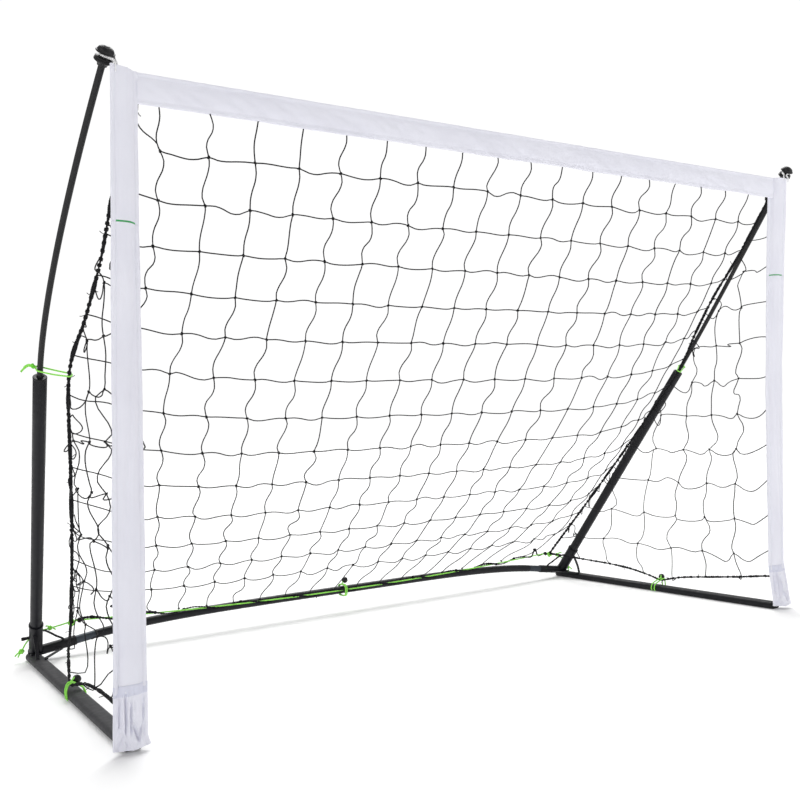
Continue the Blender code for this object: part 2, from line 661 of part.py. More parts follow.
def pole_tie(name, side, green):
    """An elastic loop from the seam rope round the bow pole, just above the upright."""
    _, top, up = upright_axis(side)
    pole = top + up * 0.016
    rope = place(SEAM_LOOP, side)
    level = (rope - pole).normalized()
    across = up.cross(level).normalized()
    wide = POLE_RADIUS + ELASTIC_RADIUS + 0.0012
    route = []
    for k in range(9):
        turn = math.pi / 2 + math.pi * k / 8
        route.append(pole + (level * math.cos(turn) + across * math.sin(turn)) * wide)
    narrow = ROPE_RADIUS + ELASTIC_RADIUS + 0.0010
    for k in range(9):
        turn = -math.pi / 2 + math.pi * k / 8
        route.append(rope + (level * math.cos(turn) + across * math.sin(turn)) * narrow)
    ring_cord(name + "_pole_tie", route, ELASTIC_RADIUS, green)


def corner_tie(name, side, green):
    """From the net's rear corner, behind the socket, to a stopper knot outside it."""
    points = [(0.8215, 0.836, 0.0905), (0.862, 0.853, 0.080), (0.884, 0.868, 0.074), (0.902, 0.8695, 0.064)]
    points += [(0.919, 0.862, 0.050), (0.927, 0.868, 0.034), (0.929, 0.872, 0.027)]
    cord(name + "_corner_tie", smooth_route([place(p, side) for p in points], 4), ELASTIC_RADIUS, green)


def corner_cord(name, side, black):
    """From the socket's inner side down to the rear bar's stub."""
    points = [(0.8765, 0.843, 0.078), (0.862, 0.852, 0.069), (0.845, 0.859, 0.057), (0.829, 0.864, 0.0475)]
    cord(name + "_corner_cord", smooth_route([place(p, side) for p in points], 4), 0.0020, black)


def oval_loop(centre, half_wide, half_high, along, steps=16):
    """A closed loop round a lying tube, square to the direction along."""
    along = along.normalized()
    wide = Vector((0, 0, 1)).cross(along).normalized()
    up = along.cross(wide)
    route = []
    for k in range(steps):
        turn = 2 * math.pi * k / steps
        flat = math.copysign(abs(math.cos(turn)) ** 0.6, math.cos(turn))
        high = math.copysign(abs(math.sin(turn)) ** 0.6, math.sin(turn))
        route.append(centre + wide * (half_wide * flat) + up * (half_high * high))
    return route


def side_tie(name, side, green, plastic):
    """A green elastic over the side rope and down both flanks of the side tube, and the ball that closes it."""
    flank = SIDE_TUBE_WIDTH / 2 + ELASTIC_RADIUS
    shift = SIDE_TIE[0] - HALF_WIDTH
    crown = SIDE_TIE[2] + ROPE_RADIUS + ELASTIC_RADIUS + 0.0004
    inner = [(-flank + 0.0014, 0.0021), (-flank, 0.0050), (-flank - 0.0008, 0.0110), (-0.0160, 0.0222)]
    outer = [(0.0205, 0.0220), (flank + 0.0004, 0.0100), (flank, 0.0050), (flank - 0.0014, 0.0021)]
    over = [*inner, (shift - 0.0085, crown - 0.0032), (shift, crown), (shift + 0.0062, crown - 0.0030), *outer]
    tie = [place((HALF_WIDTH + across, SIDE_TIE[1], z), side) for across, z in over]
    cord(name + "_side_tie", smooth_route(tie, 2), ELASTIC_RADIUS, green)
    ball_bead(name + "_side_tie_ball", place(SIDE_TIE, side) + Vector((0.0156, 0.0104, 0.0070)), plastic)


def ball_bead(name, centre, plastic):
    outline = [(0, -0.0085)]
    for k in range(-2, 3):
        turn = math.radians(32 * k)
        outline.append((0.0090 * math.cos(turn), 0.0090 * math.sin(turn)))
    outline.append((0, 0.0085))
    turned(name, outline, centre, (0.2, -0.6, 0.8), plastic, count=12)


def middle_tie(green, plastic):
    centre = bar_point(0) + Vector((0, -0.0085, 0.0005))
    around = oval_loop(centre, 0.0235, 0.0165, Vector((1, 0, 0)))
    ring_cord("rear_tie", around, ELASTIC_RADIUS, green)
    ball_bead("rear_tie_ball", bar_point(0.012) + Vector((0, -0.002, 0.0285)), plastic)


def main():
    clear_scene()
    steel = material("painted steel", (0.045, 0.045, 0.052), 0.42, 0.3)
    grey = material("grey side tube", (0.085, 0.083, 0.088), 0.62)
    bright = material("push-fit ferrule", (0.16, 0.18, 0.21), 0.35, 0.7)
    fibre = material("fibreglass", (0.022, 0.022, 0.024), 0.38)
    plastic = material("black plastic", (0.014, 0.014, 0.016), 0.40)
    rubber = material("black rubber", (0.018, 0.018, 0.018), 0.85)
    cloth = material("white polyester", (0.86, 0.86, 0.90), 0.80)
    webbing = material("white webbing", (0.90, 0.90, 0.90), 0.75)
    twine = material("black twine", (0.012, 0.012, 0.014), 0.80)
    green = material("green elastic", (0.20, 0.85, 0.12), 0.60)
    black = material("black elastic", (0.012, 0.012, 0.012), 0.70)
    for name, side in SIDES:
        side_tube(name, side, grey, rubber)
        corner_socket(name, side, steel)
        stop_peg(name, side, rubber)
        corner_brace(name, side, steel)
        stub_ferrule(name, side, bright)
        upright(name, side, steel, plastic)
        bow_pole(name, side, fibre, plastic)
        post_fabric(name, side, cloth)
        corner_loop(name, side, webbing)
    rear_bar(steel, bright)
    shock_cord(black)
    crossbar_fabric(cloth)
    net_panels(twine)
    border_ropes(twine)
    elastics(green, black, plastic)


main()
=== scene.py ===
"""The knock-down football goal's looks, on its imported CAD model: painted steel base and uprights, glass
fibre poles, white cloth front frame, knotted net, ropes and elastic ties, with floor, light and camera.

Metres, +Z up. Points are (x, y, z) with y measured from the mouth's foot line, and put() sets them in the
frame. Tables inside mm() are in millimetres.
"""

import math

import bmesh
import bpy
import numpy as np
from mathutils import Matrix, Vector, noise


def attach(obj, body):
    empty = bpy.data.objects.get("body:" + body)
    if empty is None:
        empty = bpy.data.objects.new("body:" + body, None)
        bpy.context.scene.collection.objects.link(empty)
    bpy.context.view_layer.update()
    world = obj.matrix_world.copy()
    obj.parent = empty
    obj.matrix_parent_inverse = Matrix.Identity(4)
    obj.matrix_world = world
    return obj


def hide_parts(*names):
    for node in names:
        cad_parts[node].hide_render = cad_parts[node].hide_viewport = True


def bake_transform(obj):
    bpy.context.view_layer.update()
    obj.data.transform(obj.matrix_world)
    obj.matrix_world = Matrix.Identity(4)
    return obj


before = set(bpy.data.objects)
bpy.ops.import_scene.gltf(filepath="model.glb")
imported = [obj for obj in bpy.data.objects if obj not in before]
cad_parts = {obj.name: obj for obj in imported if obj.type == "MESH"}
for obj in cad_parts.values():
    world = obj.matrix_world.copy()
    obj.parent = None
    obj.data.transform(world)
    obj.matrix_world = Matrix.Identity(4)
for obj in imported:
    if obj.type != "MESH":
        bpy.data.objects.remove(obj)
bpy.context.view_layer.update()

MOUTH_Y = -0.3869
SIDES = (("left", -1), ("right", 1))
ROOT = "goal"
PI = math.pi

# The CAD model's dimensions that the pieces here follow
HALF_WIDTH = 0.9
BASE_DEPTH = 0.87
TUBE_FRONT, TUBE_WIDTH, TUBE_HEIGHT, TUBE_EDGE = -0.004, 0.036, 0.018, 0.0078
TUBE_REAR = BASE_DEPTH + 0.028
BAR_END_Z, BAR_RISE, BAR_RADIUS, BAR_BORE, BAR_END_X = 0.023, 0.043, 0.0115, 0.0098, 0.745
UPRIGHT_FOOT = Vector((0.898, 0.85, 0.05))
UPRIGHT_TOP = Vector((0.965, 0.348, 0.689))
UPRIGHT_RADIUS, UPRIGHT_BORE, SOCKET_RADIUS, SOCKET_FLOOR = 0.0143, 0.0129, 0.0168, -0.02
POLE_RADIUS, POLE_INSERTION, POLE_BEND = 0.006, 0.15, 0.171
POLE_BULGE = Vector((0.957, 0.057, 1.035))
POLE_END = Vector((0.933, -0.091, 1.195))
POST_FOOT, POST_LEAN = (0.908, -0.027), (-0.006, -0.069)
POST_WIDTH, POST_TAPER, POST_TURN = 0.063, 0.006, (8, 12)
TOP_Z, CROSSBAR_HEIGHT, CROSSBAR_REACH = 1.191, 0.056, 0.876
POCKET_FOOT, POCKET_TOP, HEADER_FOOT = 0.012, 0.124, 0.925
SEAM_TOP_Z = 1.128
SEAM_LOOP = Vector((0.917, 0.3, 0.692))
SIDE_TIE = Vector((0.91, 0.416, 0.033))
REAR_ELASTIC_END = 0.8085
BALL_OFFSET = Vector((0.0156, 0.0104, 0.007))

# Where seam rope, side rope, rear elastic and corner tie meet
NET_CORNER = Vector((0.8125, 0.83, 0.092))

# Radii of the ropes, the elastic and the net's twine
SEAM_ROPE, SIDE_ROPE, REAR_ROPE, ELASTIC, TWINE = 0.0038, 0.0031, 0.003, 0.0019, 0.00135

# The net: squares across and down, and links of twine between two knots
CELLS_ACROSS, ROWS, LINKS = 19, 13, 5

# Cloth: sewn margins, height of its soft folds, gap between pocket and post cloth, and each side's folds
HEM, CROSSBAR_HEM, RIPPLE, POCKET_EASE = 0.009, 0.007, 0.0014, 0.001
CLOTH_SEED = {-1: 9.0, 1: 4.0}
SLEEVE_BULGE, HEADER_BULGE, POCKET_BULGE, CROSSBAR_BULGE = 0.0062, 0.0058, 0.0068, 0.003

# Creases of a foot pocket: place across, lean, width, lower and upper ends, depth in metres
POCKET_CREASES = (
    (-0.66, 0.06, 0.06, 0.26, 0.9, 0.0046),
    (-0.34, -0.02, 0.065, 0.16, 0.96, 0.0054),
    (-0.12, 0.06, 0.055, 0.2, 0.82, 0.0036),
    (0.52, -1.3, 0.075, 0.06, 0.46, 0.005),
    (0.22, 1.1, 0.07, 0.05, 0.4, 0.0048),
    (-0.7, 0.9, 0.08, 0.0, 0.3, 0.0044),
    (-0.25, -1.1, 0.07, 0.0, 0.24, 0.0038),
    (0.66, 0.08, 0.05, 0.35, 0.8, 0.0022),
)


def mm(*rows):
    """Rows of millimetres, in metres."""
    return [tuple(value / 1000 for value in row) for row in rows]


def put(point, side=1):
    """A point measured from the foot line, in the frame; side -1 mirrors it to the left."""
    return Vector((side * point[0], MOUTH_Y + point[1], point[2]))


def limit(value, low=0.0, high=1.0):
    return min(max(value, low), high)


def placed(name, data):
    """A new object in the scene."""
    obj = bpy.data.objects.new(name, data)
    bpy.context.scene.collection.objects.link(obj)
    return obj


# Materials


def add_node(tree, kind, *sources, **values):
    """A shader node with its inputs and settings by name; sources go to its first inputs, in order."""
    node = tree.nodes.new("ShaderNode" + kind)
    for key, value in values.items():
        if key in node.inputs:
            node.inputs[key].default_value = value
        else:
            setattr(node, key, value)
    for source, socket in zip(sources, node.inputs):
        tree.links.new(source, socket)
    return node


class Look:
    """A material, and the name of a material slot, which it keeps but nothing here reads."""

    def __init__(self, name, slot=None, **constants):
        self.slot = slot
        self.material = bpy.data.materials.new(name)
        self.material.use_nodes = True
        self.tree = self.material.node_tree
        self.shader = self.tree.nodes["Principled BSDF"]
        for socket, value in constants.items():
            self.shader.inputs[socket.replace("_", " ")].default_value = value

    def node(self, kind, *sources, **values):
        return add_node(self.tree, kind, *sources, **values)

    def wire(self, source, socket):
        self.tree.links.new(source, self.shader.inputs[socket])

    def place(self):
        return self.node("TexCoord").outputs["Object"]

    def noise(self, place, scale, detail=3.0, stretch=(1, 1, 1)):
        """A noise texture in object space, stretched along an axis where asked."""
        mapping = self.node("Mapping", place, Scale=stretch)
        return self.node("TexNoise", mapping.outputs["Vector"], Scale=scale, Detail=detail).outputs["Fac"]

    def wave(self, place, stretch, scale, distortion):
        mapping = self.node("Mapping", place, Scale=stretch)
        wave = self.node("TexWave", mapping.outputs["Vector"], Scale=scale, Distortion=distortion)
        wave.bands_direction = "DIAGONAL"
        return wave.outputs["Fac"]

    def maths(self, operation, *sources):
        return self.node("Math", *sources, operation=operation).outputs["Value"]

    def ramp(self, source, low, high, start=0.3, end=0.7):
        """A colour or grey that runs from low to high as the source goes from start to end."""
        node = self.node("ValToRGB", source)
        for element, value, position in zip(node.color_ramp.elements, (low, high), (start, end)):
            element.position = position
            element.color = (*value, 1.0) if isinstance(value, tuple) else (value, value, value, 1.0)
        return node.outputs["Color"]

    def bump(self, source, distance, strength=1.0, below=None):
        bump = self.node("Bump", Strength=strength, Distance=distance)
        self.tree.links.new(source, bump.inputs["Height"])
        if below:
            self.tree.links.new(below, bump.inputs["Normal"])
        self.wire(bump.outputs["Normal"], "Normal")
        return bump.outputs["Normal"]


def coated(name, slot, dark, light, roughness, grain=900.0, metallic=0.0, streak=(1, 1, 1)):
    """Paint, moulded plastic or rod surface: mottled colour and roughness over a fine skin texture."""
    look = Look(name, slot, Metallic=metallic, Specular_IOR_Level=0.28)
    place = look.place()
    look.wire(look.ramp(look.noise(place, 14.0, 4.0, streak), dark, light), "Base Color")
    wear = look.noise(place, 70.0, 5.0, streak)
    look.wire(look.ramp(wear, roughness - 0.07, roughness + 0.1), "Roughness")
    look.bump(look.noise(place, grain, 2.0, streak), 0.00006)
    return look


def woven(name, slot, dark, light, thread=0.00055, sheen=0.25, band=None):
    """Plain-woven cloth: crossing threads in bump, slight mottling, and a band of painted shade where it is
    double.
    """
    look = Look(name, slot, Sheen_Weight=sheen, Sheen_Roughness=0.45)
    place = look.place()
    threads = [look.wave(place, axis, 0.32 / thread, 0.4) for axis in ((1, 0, 0), (0, 0, 1))]
    broad = look.noise(place, 9.0, 5.0)
    colour = look.ramp(broad, dark, light, 0.25, 0.75)
    # Between the two heights the colour turns to a darker tint: painted shade of the doubled cloth
    if band:
        low, high, shade_tint = band
        height = look.node("SeparateXYZ", place).outputs["Z"]
        tests = []
        for edge, operation in ((low, "GREATER_THAN"), (high, "LESS_THAN")):
            tests.append(look.maths(operation, height))
            tests[-1].node.inputs[1].default_value = edge
        mix = look.node("Mix", data_type="RGBA")
        look.tree.links.new(look.maths("MULTIPLY", *tests), mix.inputs["Factor"])
        look.tree.links.new(colour, mix.inputs["A"])
        mix.inputs["B"].default_value = (*shade_tint, 1.0)
        colour = mix.outputs["Result"]
    look.wire(colour, "Base Color")
    look.wire(look.ramp(broad, 0.67, 0.8), "Roughness")
    crease = look.bump(look.noise(place, 60.0, 4.0, (1.0, 1.0, 0.35)), 0.0008, 0.5)
    look.bump(look.maths("MAXIMUM", *threads), 0.0001, 0.6, crease)
    return look


def braided(name, slot, dark, light, ribs, roughness, depth, sheen=0.0):
    """Braided or laid cord: slanted strands that follow each cord's own length, from its UV map."""
    look = Look(name, slot, Sheen_Weight=sheen, Specular_IOR_Level=0.22)
    along = look.node("UVMap", uv_map="cord").outputs["UV"]
    slanted = [look.wave(along, (ribs, slant, 1), 1.0, 0.0) for slant in (2.0, -2.0)]
    strands = look.maths("MAXIMUM", *slanted)
    # Colour darker in the grooves between strands and lighter on their crests: painted shade and painted
    # highlight
    look.wire(look.ramp(strands, dark, light, 0.35, 0.95), "Base Color")
    fuzz = look.noise(look.place(), 1500.0, 2.0)
    look.wire(look.ramp(fuzz, roughness - 0.08, roughness + 0.1), "Roughness")
    look.bump(strands, depth, 0.8, look.bump(fuzz, 0.00008, 0.5))
    return look


STEEL = coated("satin black paint", "black_steel", (0.0042, 0.0043, 0.0066), (0.007, 0.0072, 0.0104), 0.42)
# The two side tubes are one paint in two colours: the left one's grey is painted light and the right one's
# black is painted shade
SIDE_TUBE_PAINTED_LIGHT = coated("side tube paint with painted light", "grey_steel", (0.042, 0.042, 0.045), (0.056, 0.055, 0.059), 0.66, 1400.0)
SIDE_TUBE_PAINTED_SHADE = coated(
    "side tube paint with painted shade", "grey_steel", (0.0045, 0.0045, 0.0065), (0.0075, 0.0075, 0.0105), 0.58, 1400.0
)
FERRULE = coated("blue-grey ferrule", None, (0.04, 0.048, 0.06), (0.065, 0.076, 0.092), 0.36, metallic=0.4)
ALONG = (1, 1, 0.06)
FIBRE = coated(
    "glass fibre rod", "fibreglass", (0.01, 0.01, 0.011), (0.017, 0.017, 0.018), 0.4, 500.0, streak=ALONG
)
PLASTIC = coated(
    "moulded black plastic", "black_plastic", (0.006, 0.006, 0.0072), (0.01, 0.01, 0.0115), 0.38, 1800.0
)
RUBBER = coated("black rubber", None, (0.008, 0.008, 0.008), (0.015, 0.015, 0.015), 0.78, 700.0)
CLOTH = woven("white polyester", "white_cloth", (0.745, 0.745, 0.825), (0.8, 0.8, 0.87))
# Heights and tint of the pocket's hem band: painted shade where the cloth is double
HEM_SHADE_BAND = (0.105, 0.126, (0.66, 0.67, 0.78))
POCKET = woven("white pocket cloth", "white_cloth", (0.74, 0.74, 0.83), (0.81, 0.81, 0.88), band=HEM_SHADE_BAND)
WEBBING = woven("white webbing", "white_webbing", (0.8, 0.8, 0.8), (0.9, 0.9, 0.9), 0.0012, 0.1)
THREAD = woven("white thread", "white_cloth", (0.66, 0.66, 0.73), (0.76, 0.76, 0.82), 0.0004, 0.1)
PIPING = woven("green piping", "green_elastic", (0.02, 0.3, 0.07), (0.035, 0.38, 0.1), 0.0008, 0.1)
NET_TWINE = braided(
    "net twine", "black_twine", (0.003, 0.003, 0.004), (0.012, 0.012, 0.014), 900.0, 0.72, 0.00012
)
ROPE = braided("black rope", "black_twine", (0.002, 0.002, 0.003), (0.01, 0.01, 0.012), 500.0, 0.78, 0.0002)
GREEN = braided(
    "green elastic", "green_elastic", (0.17, 0.66, 0.045), (0.38, 0.92, 0.14), 700.0, 0.6, 0.00018, 0.15
)
BLACK_CORD = braided(
    "black elastic", "black_elastic", (0.004, 0.004, 0.005), (0.016, 0.016, 0.018), 700.0, 0.66, 0.00015
)


# Geometry


def axes(axis):
    """An axis at length one, and two directions square to it and to each other."""
    axis = axis.normalized()
    first = axis.orthogonal().normalized()
    return axis, first, axis.cross(first)


def turned(centre, first, second, radius, turn):
    """The point at an angle round a centre, from first towards second."""
    return centre + (first * math.cos(turn) + second * math.sin(turn)) * radius


def wrap(centre, first, second, radius, start, end, steps, climb=Vector()):
    """Points round a centre from one angle to another, which climb in all by the vector given."""
    points = []
    for k in range(steps + 1):
        share = k / steps
        turn = start + (end - start) * share
        points.append(turned(centre, first, second, radius, turn) + climb * (share - 0.5))
    return points


class Mesh:
    """Gathers faces from several shapes into one piece, with UVs that follow each cord."""

    def __init__(self):
        self.points, self.faces, self.uvs, self.count = [], [], [], 0

    def add(self, points, faces, uvs=None):
        self.points.append(np.asarray(points, float))
        for face in faces:
            self.faces.append([index + self.count for index in face])
        self.uvs.extend(uvs if uvs is not None else [(0.0, 0.0)] * sum(len(face) for face in faces))
        self.count += len(points)

    def tube(self, path, radius, sides=8, closed=False):
        """A round tube along points in the frame; radius is one number or one for each point."""
        path = np.array([tuple(p) for p in path], float)
        count = len(path)
        radii = np.full(count, radius) if np.isscalar(radius) else np.asarray(radius, float)
        ahead, behind = np.roll(path, -1, 0), np.roll(path, 1, 0)
        if not closed:
            ahead[-1], behind[0] = path[-1], path[0]
        tangent = ahead - behind
        tangent /= np.maximum(np.linalg.norm(tangent, axis=1), 1e-12)[:, None]
        first = np.cross(tangent[0], (0.31, 0.17, 0.94))
        if np.linalg.norm(first) < 0.05:
            first = np.cross(tangent[0], (1.0, 0.0, 0.0))
        firsts = np.empty_like(path)
        for k in range(count):
            first = first - tangent[k] * first.dot(tangent[k])
            first = first / np.linalg.norm(first)
            firsts[k] = first
        seconds = np.cross(tangent, firsts)
        turn = (2 * np.pi * np.arange(sides) / sides)[None, :, None]
        ring = np.cos(turn) * firsts[:, None] + np.sin(turn) * seconds[:, None]
        points = (path[:, None] + ring * radii[:, None, None]).reshape(-1, 3)
        steps = np.linalg.norm(np.diff(path, axis=0, append=path[:1]), axis=1)
        reach = np.concatenate([[0.0], np.cumsum(steps)])
        faces, uvs = [], []
        for k in range(count if closed else count - 1):
            after = (k + 1) % count
            for i in range(sides):
                j = (i + 1) % sides
                faces.append((k * sides + i, k * sides + j, after * sides + j, after * sides + i))
                uvs += [(reach[k], i / sides), (reach[k], (i + 1) / sides)]
                uvs += [(reach[k + 1], (i + 1) / sides), (reach[k + 1], i / sides)]
        if not closed:
            faces.append(tuple(range(sides))[::-1])
            faces.append(tuple((count - 1) * sides + i for i in range(sides)))
            uvs += [(0.0, 0.0)] * (2 * sides)
        self.add(points, faces, uvs)

    def ball(self, centre, radius, stretch=(1, 1, 1), detail=8):
        """A rounded lump, longer along the axes where asked."""
        points, faces, wide = [tuple(centre + Vector((0, 0, -radius * stretch[2])))], [], 2 * detail
        for k in range(1, detail):
            turn = PI * k / detail - PI / 2
            for i in range(wide):
                around, flat = PI * i / detail, math.cos(turn) * radius
                offset = (flat * math.cos(around) * stretch[0], flat * math.sin(around) * stretch[1])
                points.append(tuple(centre + Vector((*offset, math.sin(turn) * radius * stretch[2]))))
        points.append(tuple(centre + Vector((0, 0, radius * stretch[2]))))
        for i in range(wide):
            j = (i + 1) % wide
            faces.append((0, 1 + j, 1 + i))
            for low in range(1, 1 + (detail - 2) * wide, wide):
                faces.append((low + i, low + j, low + wide + j, low + wide + i))
            last = 1 + (detail - 2) * wide
            faces.append((len(points) - 1, last + i, last + j))
        self.add(points, faces)

    def skin(self, rings, closed=True, caps=False):
        """Faces between rings of equal length; closed joins each ring's end to its start."""
        size = len(rings[0])
        faces = []
        for k in range(len(rings) - 1):
            for i in range(size if closed else size - 1):
                j = (i + 1) % size
                faces.append((k * size + i, k * size + j, (k + 1) * size + j, (k + 1) * size + i))
        if caps:
            faces.append(tuple(range(size))[::-1])
            faces.append(tuple((len(rings) - 1) * size + i for i in range(size)))
        self.add([tuple(p) for ring in rings for p in ring], faces)

    def lathe(self, outline, origin, direction, sides=48, caps=True):
        """A solid turned about direction through origin, from an outline of (radius, height)."""
        turn = Vector(direction).to_track_quat("Z", "Y").to_matrix()
        around = [2 * PI * i / sides for i in range(sides)]
        rings = []
        for radius, height in outline:
            local = [Vector((radius * math.cos(t), radius * math.sin(t), height)) for t in around]
            rings.append([Vector(origin) + turn @ point for point in local])
        self.skin(rings, caps=caps)

    def made(self, name, look, node=None, body=ROOT, crease=40):
        """The gathered faces as one piece that stands for a CAD node; without a body, it is left unattached.
        """
        mesh = bpy.data.meshes.new(name)
        mesh.from_pydata(np.concatenate(self.points).tolist(), [], self.faces)
        layer = mesh.uv_layers.new(name="cord")
        layer.data.foreach_set("uv", np.array(self.uvs, np.float32).ravel())
        mesh.shade_smooth()
        mesh.set_sharp_from_angle(angle=math.radians(crease))
        mesh.materials.append(look.material)
        obj = placed(name, mesh)
        if body:
            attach(obj, body)
        if node:
            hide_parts(node)
        return obj


def smooth_route(points, per_span=6):
    """Points along a Catmull-Rom curve through the given points."""
    points = [Vector(p) for p in points]
    ends = [2 * points[0] - points[1], *points, 2 * points[-1] - points[-2]]
    route = []
    for k in range(1, len(ends) - 2):
        a, b, c, d = ends[k - 1 : k + 3]
        cubic = -a + 3 * b - 3 * c + d
        square = 2 * a - 5 * b + 4 * c - d
        for step in range(per_span):
            t = step / per_span
            route.append((2 * b + (c - a) * t + square * t**2 + cubic * t**3) / 2)
    route.append(points[-1])
    return route


def measured(route):
    """The route as an array, and how far along it each point lies."""
    line = np.array([tuple(p) for p in route])
    return line, np.concatenate([[0.0], np.cumsum(np.linalg.norm(np.diff(line, axis=0), axis=1))])


def even(route, step):
    """The route again, with points at equal distances."""
    line, reach = measured(route)
    at = np.linspace(0, reach[-1], max(int(round(reach[-1] / step)), 2) + 1)
    return np.stack([np.interp(at, reach, line[:, axis]) for axis in range(3)], axis=1)


def point_at(route, share):
    """The point at a share of the route's length."""
    line, reach = measured(route)
    return Vector([float(np.interp(share * reach[-1], reach, line[:, axis])) for axis in range(3)])


def point_where(route, axis, value):
    """The point where a route that only climbs or only falls along an axis passes a value on it."""
    line = np.array(sorted((tuple(p) for p in route), key=lambda p: p[axis]))
    return Vector([float(np.interp(value, line[:, axis], line[:, k])) for k in range(3)])


def rounded_box(width, height, edge, steps=6):
    outline = []
    for quarter, (sx, sy) in enumerate(((1, 1), (-1, 1), (-1, -1), (1, -1))):
        for step in range(steps + 1):
            turn = PI / 2 * (quarter + step / steps)
            across = sx * (width / 2 - edge) + edge * math.cos(turn)
            outline.append((across, sy * (height / 2 - edge) + edge * math.sin(turn)))
    return outline


def cord(mesh, points, side, radius=ELASTIC, per_span=6):
    """A smooth round cord through points measured from the foot line."""
    mesh.tube(smooth_route([put(p, side) for p in points], per_span), radius, 10)


def laid_rope(mesh, route, radius, strands, pitch, lump, seed):
    """Strands twisted round each other along a route, with gentle lumps."""
    line = even(route, pitch / 7)
    tangent = np.gradient(line, axis=0)
    tangent /= np.linalg.norm(tangent, axis=1)[:, None]
    first = np.cross(tangent, (0.2, 0.97, 0.1))
    first /= np.linalg.norm(first, axis=1)[:, None]
    second = np.cross(tangent, first)
    reach = np.arange(len(line)) * pitch / 7
    swell = np.array([1 + lump * noise.noise(Vector((s * 22, seed * 3.7, 0))) for s in reach])
    strand = radius * 0.52
    for k in range(strands):
        turn = (2 * np.pi * (reach / pitch + k / strands))[:, None]
        offset = np.cos(turn) * first + np.sin(turn) * second
        mesh.tube(line + offset * (strand * 0.92 * swell)[:, None], strand * swell, 7)


def upright_axis(side):
    foot, top = put(UPRIGHT_FOOT, side), put(UPRIGHT_TOP, side)
    return foot, top, (top - foot).normalized()


def bar_point(x):
    share = min(abs(x) / BASE_DEPTH, 1.0)
    return Vector((x, MOUTH_Y + BASE_DEPTH, BAR_END_Z + BAR_RISE * (1 - share**4.5)))


def bow_route(side, count=16):
    """The rod's middle line above the upright, a cubic Bezier curve."""
    _, top, up = upright_axis(side)
    a, b, c, d = top + up * 0.004, top + up * POLE_BEND, put(POLE_BULGE, side), put(POLE_END, side)
    route = []
    for k in range(count + 1):
        t = k / count
        s = 1 - t
        route.append(a * s**3 + b * (3 * s * s * t) + c * (3 * s * t * t) + d * t**3)
    return route


def elastic_point(x):
    forward = 0.013 * max(0.0, (abs(x) - 0.76) / (REAR_ELASTIC_END - 0.76)) ** 2
    return Vector((x, MOUTH_Y + BASE_DEPTH - 0.0205 - forward, 0.068 + 0.024 * (x / 0.8) ** 2))


def seam_route(side):
    """The net's edge from the frame's top corner to its rear corner; the right-hand one hangs slack."""
    points = [(0.874, -0.08, SEAM_TOP_Z), (0.891, 0.022, 1.0), (0.893, 0.112, 0.9), (0.903, 0.202, 0.8)]
    points += [SEAM_LOOP, (0.884, 0.463, 0.5), (0.8475, 0.6405, 0.3), (0.8155, 0.8215, 0.106), NET_CORNER]
    route = smooth_route([put(p, side) for p in points])
    if side < 0:
        return route
    slack = [math.sin(PI * limit((p.z - SEAM_LOOP.z) / (SEAM_TOP_Z - SEAM_LOOP.z))) for p in route]
    return [p + Vector((-0.011, 0.009, 0)) * share for p, share in zip(route, slack)]


def side_route(side):
    """The net's lower edge from the post to its rear corner, held down by the side tie."""
    points = [(0.925, -0.018, 0.087), (0.922, 0.032, 0.0835), (0.913, 0.11, 0.0745), (0.9055, 0.2, 0.0655)]
    points += [(0.902, 0.3115, 0.0535), (0.906, 0.37, 0.0425), SIDE_TIE, (0.9045, 0.452, 0.043)]
    points += [(0.889, 0.525, 0.061), (0.872, 0.6, 0.0715), (0.853, 0.674, 0.0785), (0.823, 0.795, 0.0895)]
    route = smooth_route([put(p, side) for p in [*points, NET_CORNER]])
    return [p + hang(0.1, side) * max(1 - (p.y - MOUTH_Y) / 0.12, 0.0) for p in route]


# Steel base, uprights and bow poles


def side_tube(name, side):
    """A flat-sided oval tube with a rounded rear end, cut square in front."""
    half = TUBE_WIDTH / 2
    straight = TUBE_REAR - half - TUBE_FRONT
    stations = [(TUBE_FRONT, 1.0), (TUBE_FRONT + 0.0006, 1.0)]
    stations += [(TUBE_FRONT + straight * k / 12, 1.0) for k in range(1, 13)]
    for k in range(1, 9):
        turn = math.radians(k * 9.6)
        stations.append((TUBE_REAR - half + half * math.sin(turn), math.cos(turn)))
    rings = []
    for y, share in stations:
        width = TUBE_WIDTH * share
        outline = rounded_box(width, TUBE_HEIGHT, min(TUBE_EDGE, width / 2 * 0.95))
        rings.append([put((HALF_WIDTH + a, y, TUBE_HEIGHT / 2 + b), side) for a, b in outline])
    mesh = Mesh()
    mesh.skin(rings, caps=True)
    # Left tube in the lighter copy and right tube in the darker copy: painted light and painted shade on one
    # paint
    mesh.made(name + "_side_tube_shell", SIDE_TUBE_PAINTED_LIGHT if side < 0 else SIDE_TUBE_PAINTED_SHADE, name + "_side_tube")


def upright(name, side):
    """The steel tube, and the plastic bush in its top end that the rod passes."""
    foot, top, up = upright_axis(side)
    start = foot + up * (SOCKET_FLOOR + 0.0025)
    length, wide = (top - start).length, UPRIGHT_RADIUS
    wall = [(UPRIGHT_BORE, 0.0), (wide - 0.0004, 0.0), (wide, 0.0004)]
    wall += [(wide, length * k / 8) for k in range(1, 8)]
    wall += [(wide, length - 0.0006), (wide - 0.0005, length), (UPRIGHT_BORE, length), wall[0]]
    bush = mm((6.4, -20), (12.5, -20), (12.5, 0.4), (14.3, 0.4), (14.7, 1.2), (14.6, 2.6), (13.3, 4.0))
    bush += mm((9.0, 4.4), (7.2, 3.8), (6.4, 2.2), (6.4, -20))
    for part, outline, origin, sides, look, node in (
        ("upright_wall", wall, start, 56, STEEL, "upright_tube"),
        ("bush_ring", bush, top, 48, PLASTIC, "upright_bush"),
    ):
        mesh = Mesh()
        mesh.lathe(outline, origin, up, sides, caps=False)
        mesh.made(f"{name}_{part}", look, f"{name}_{node}", name + "_upright")


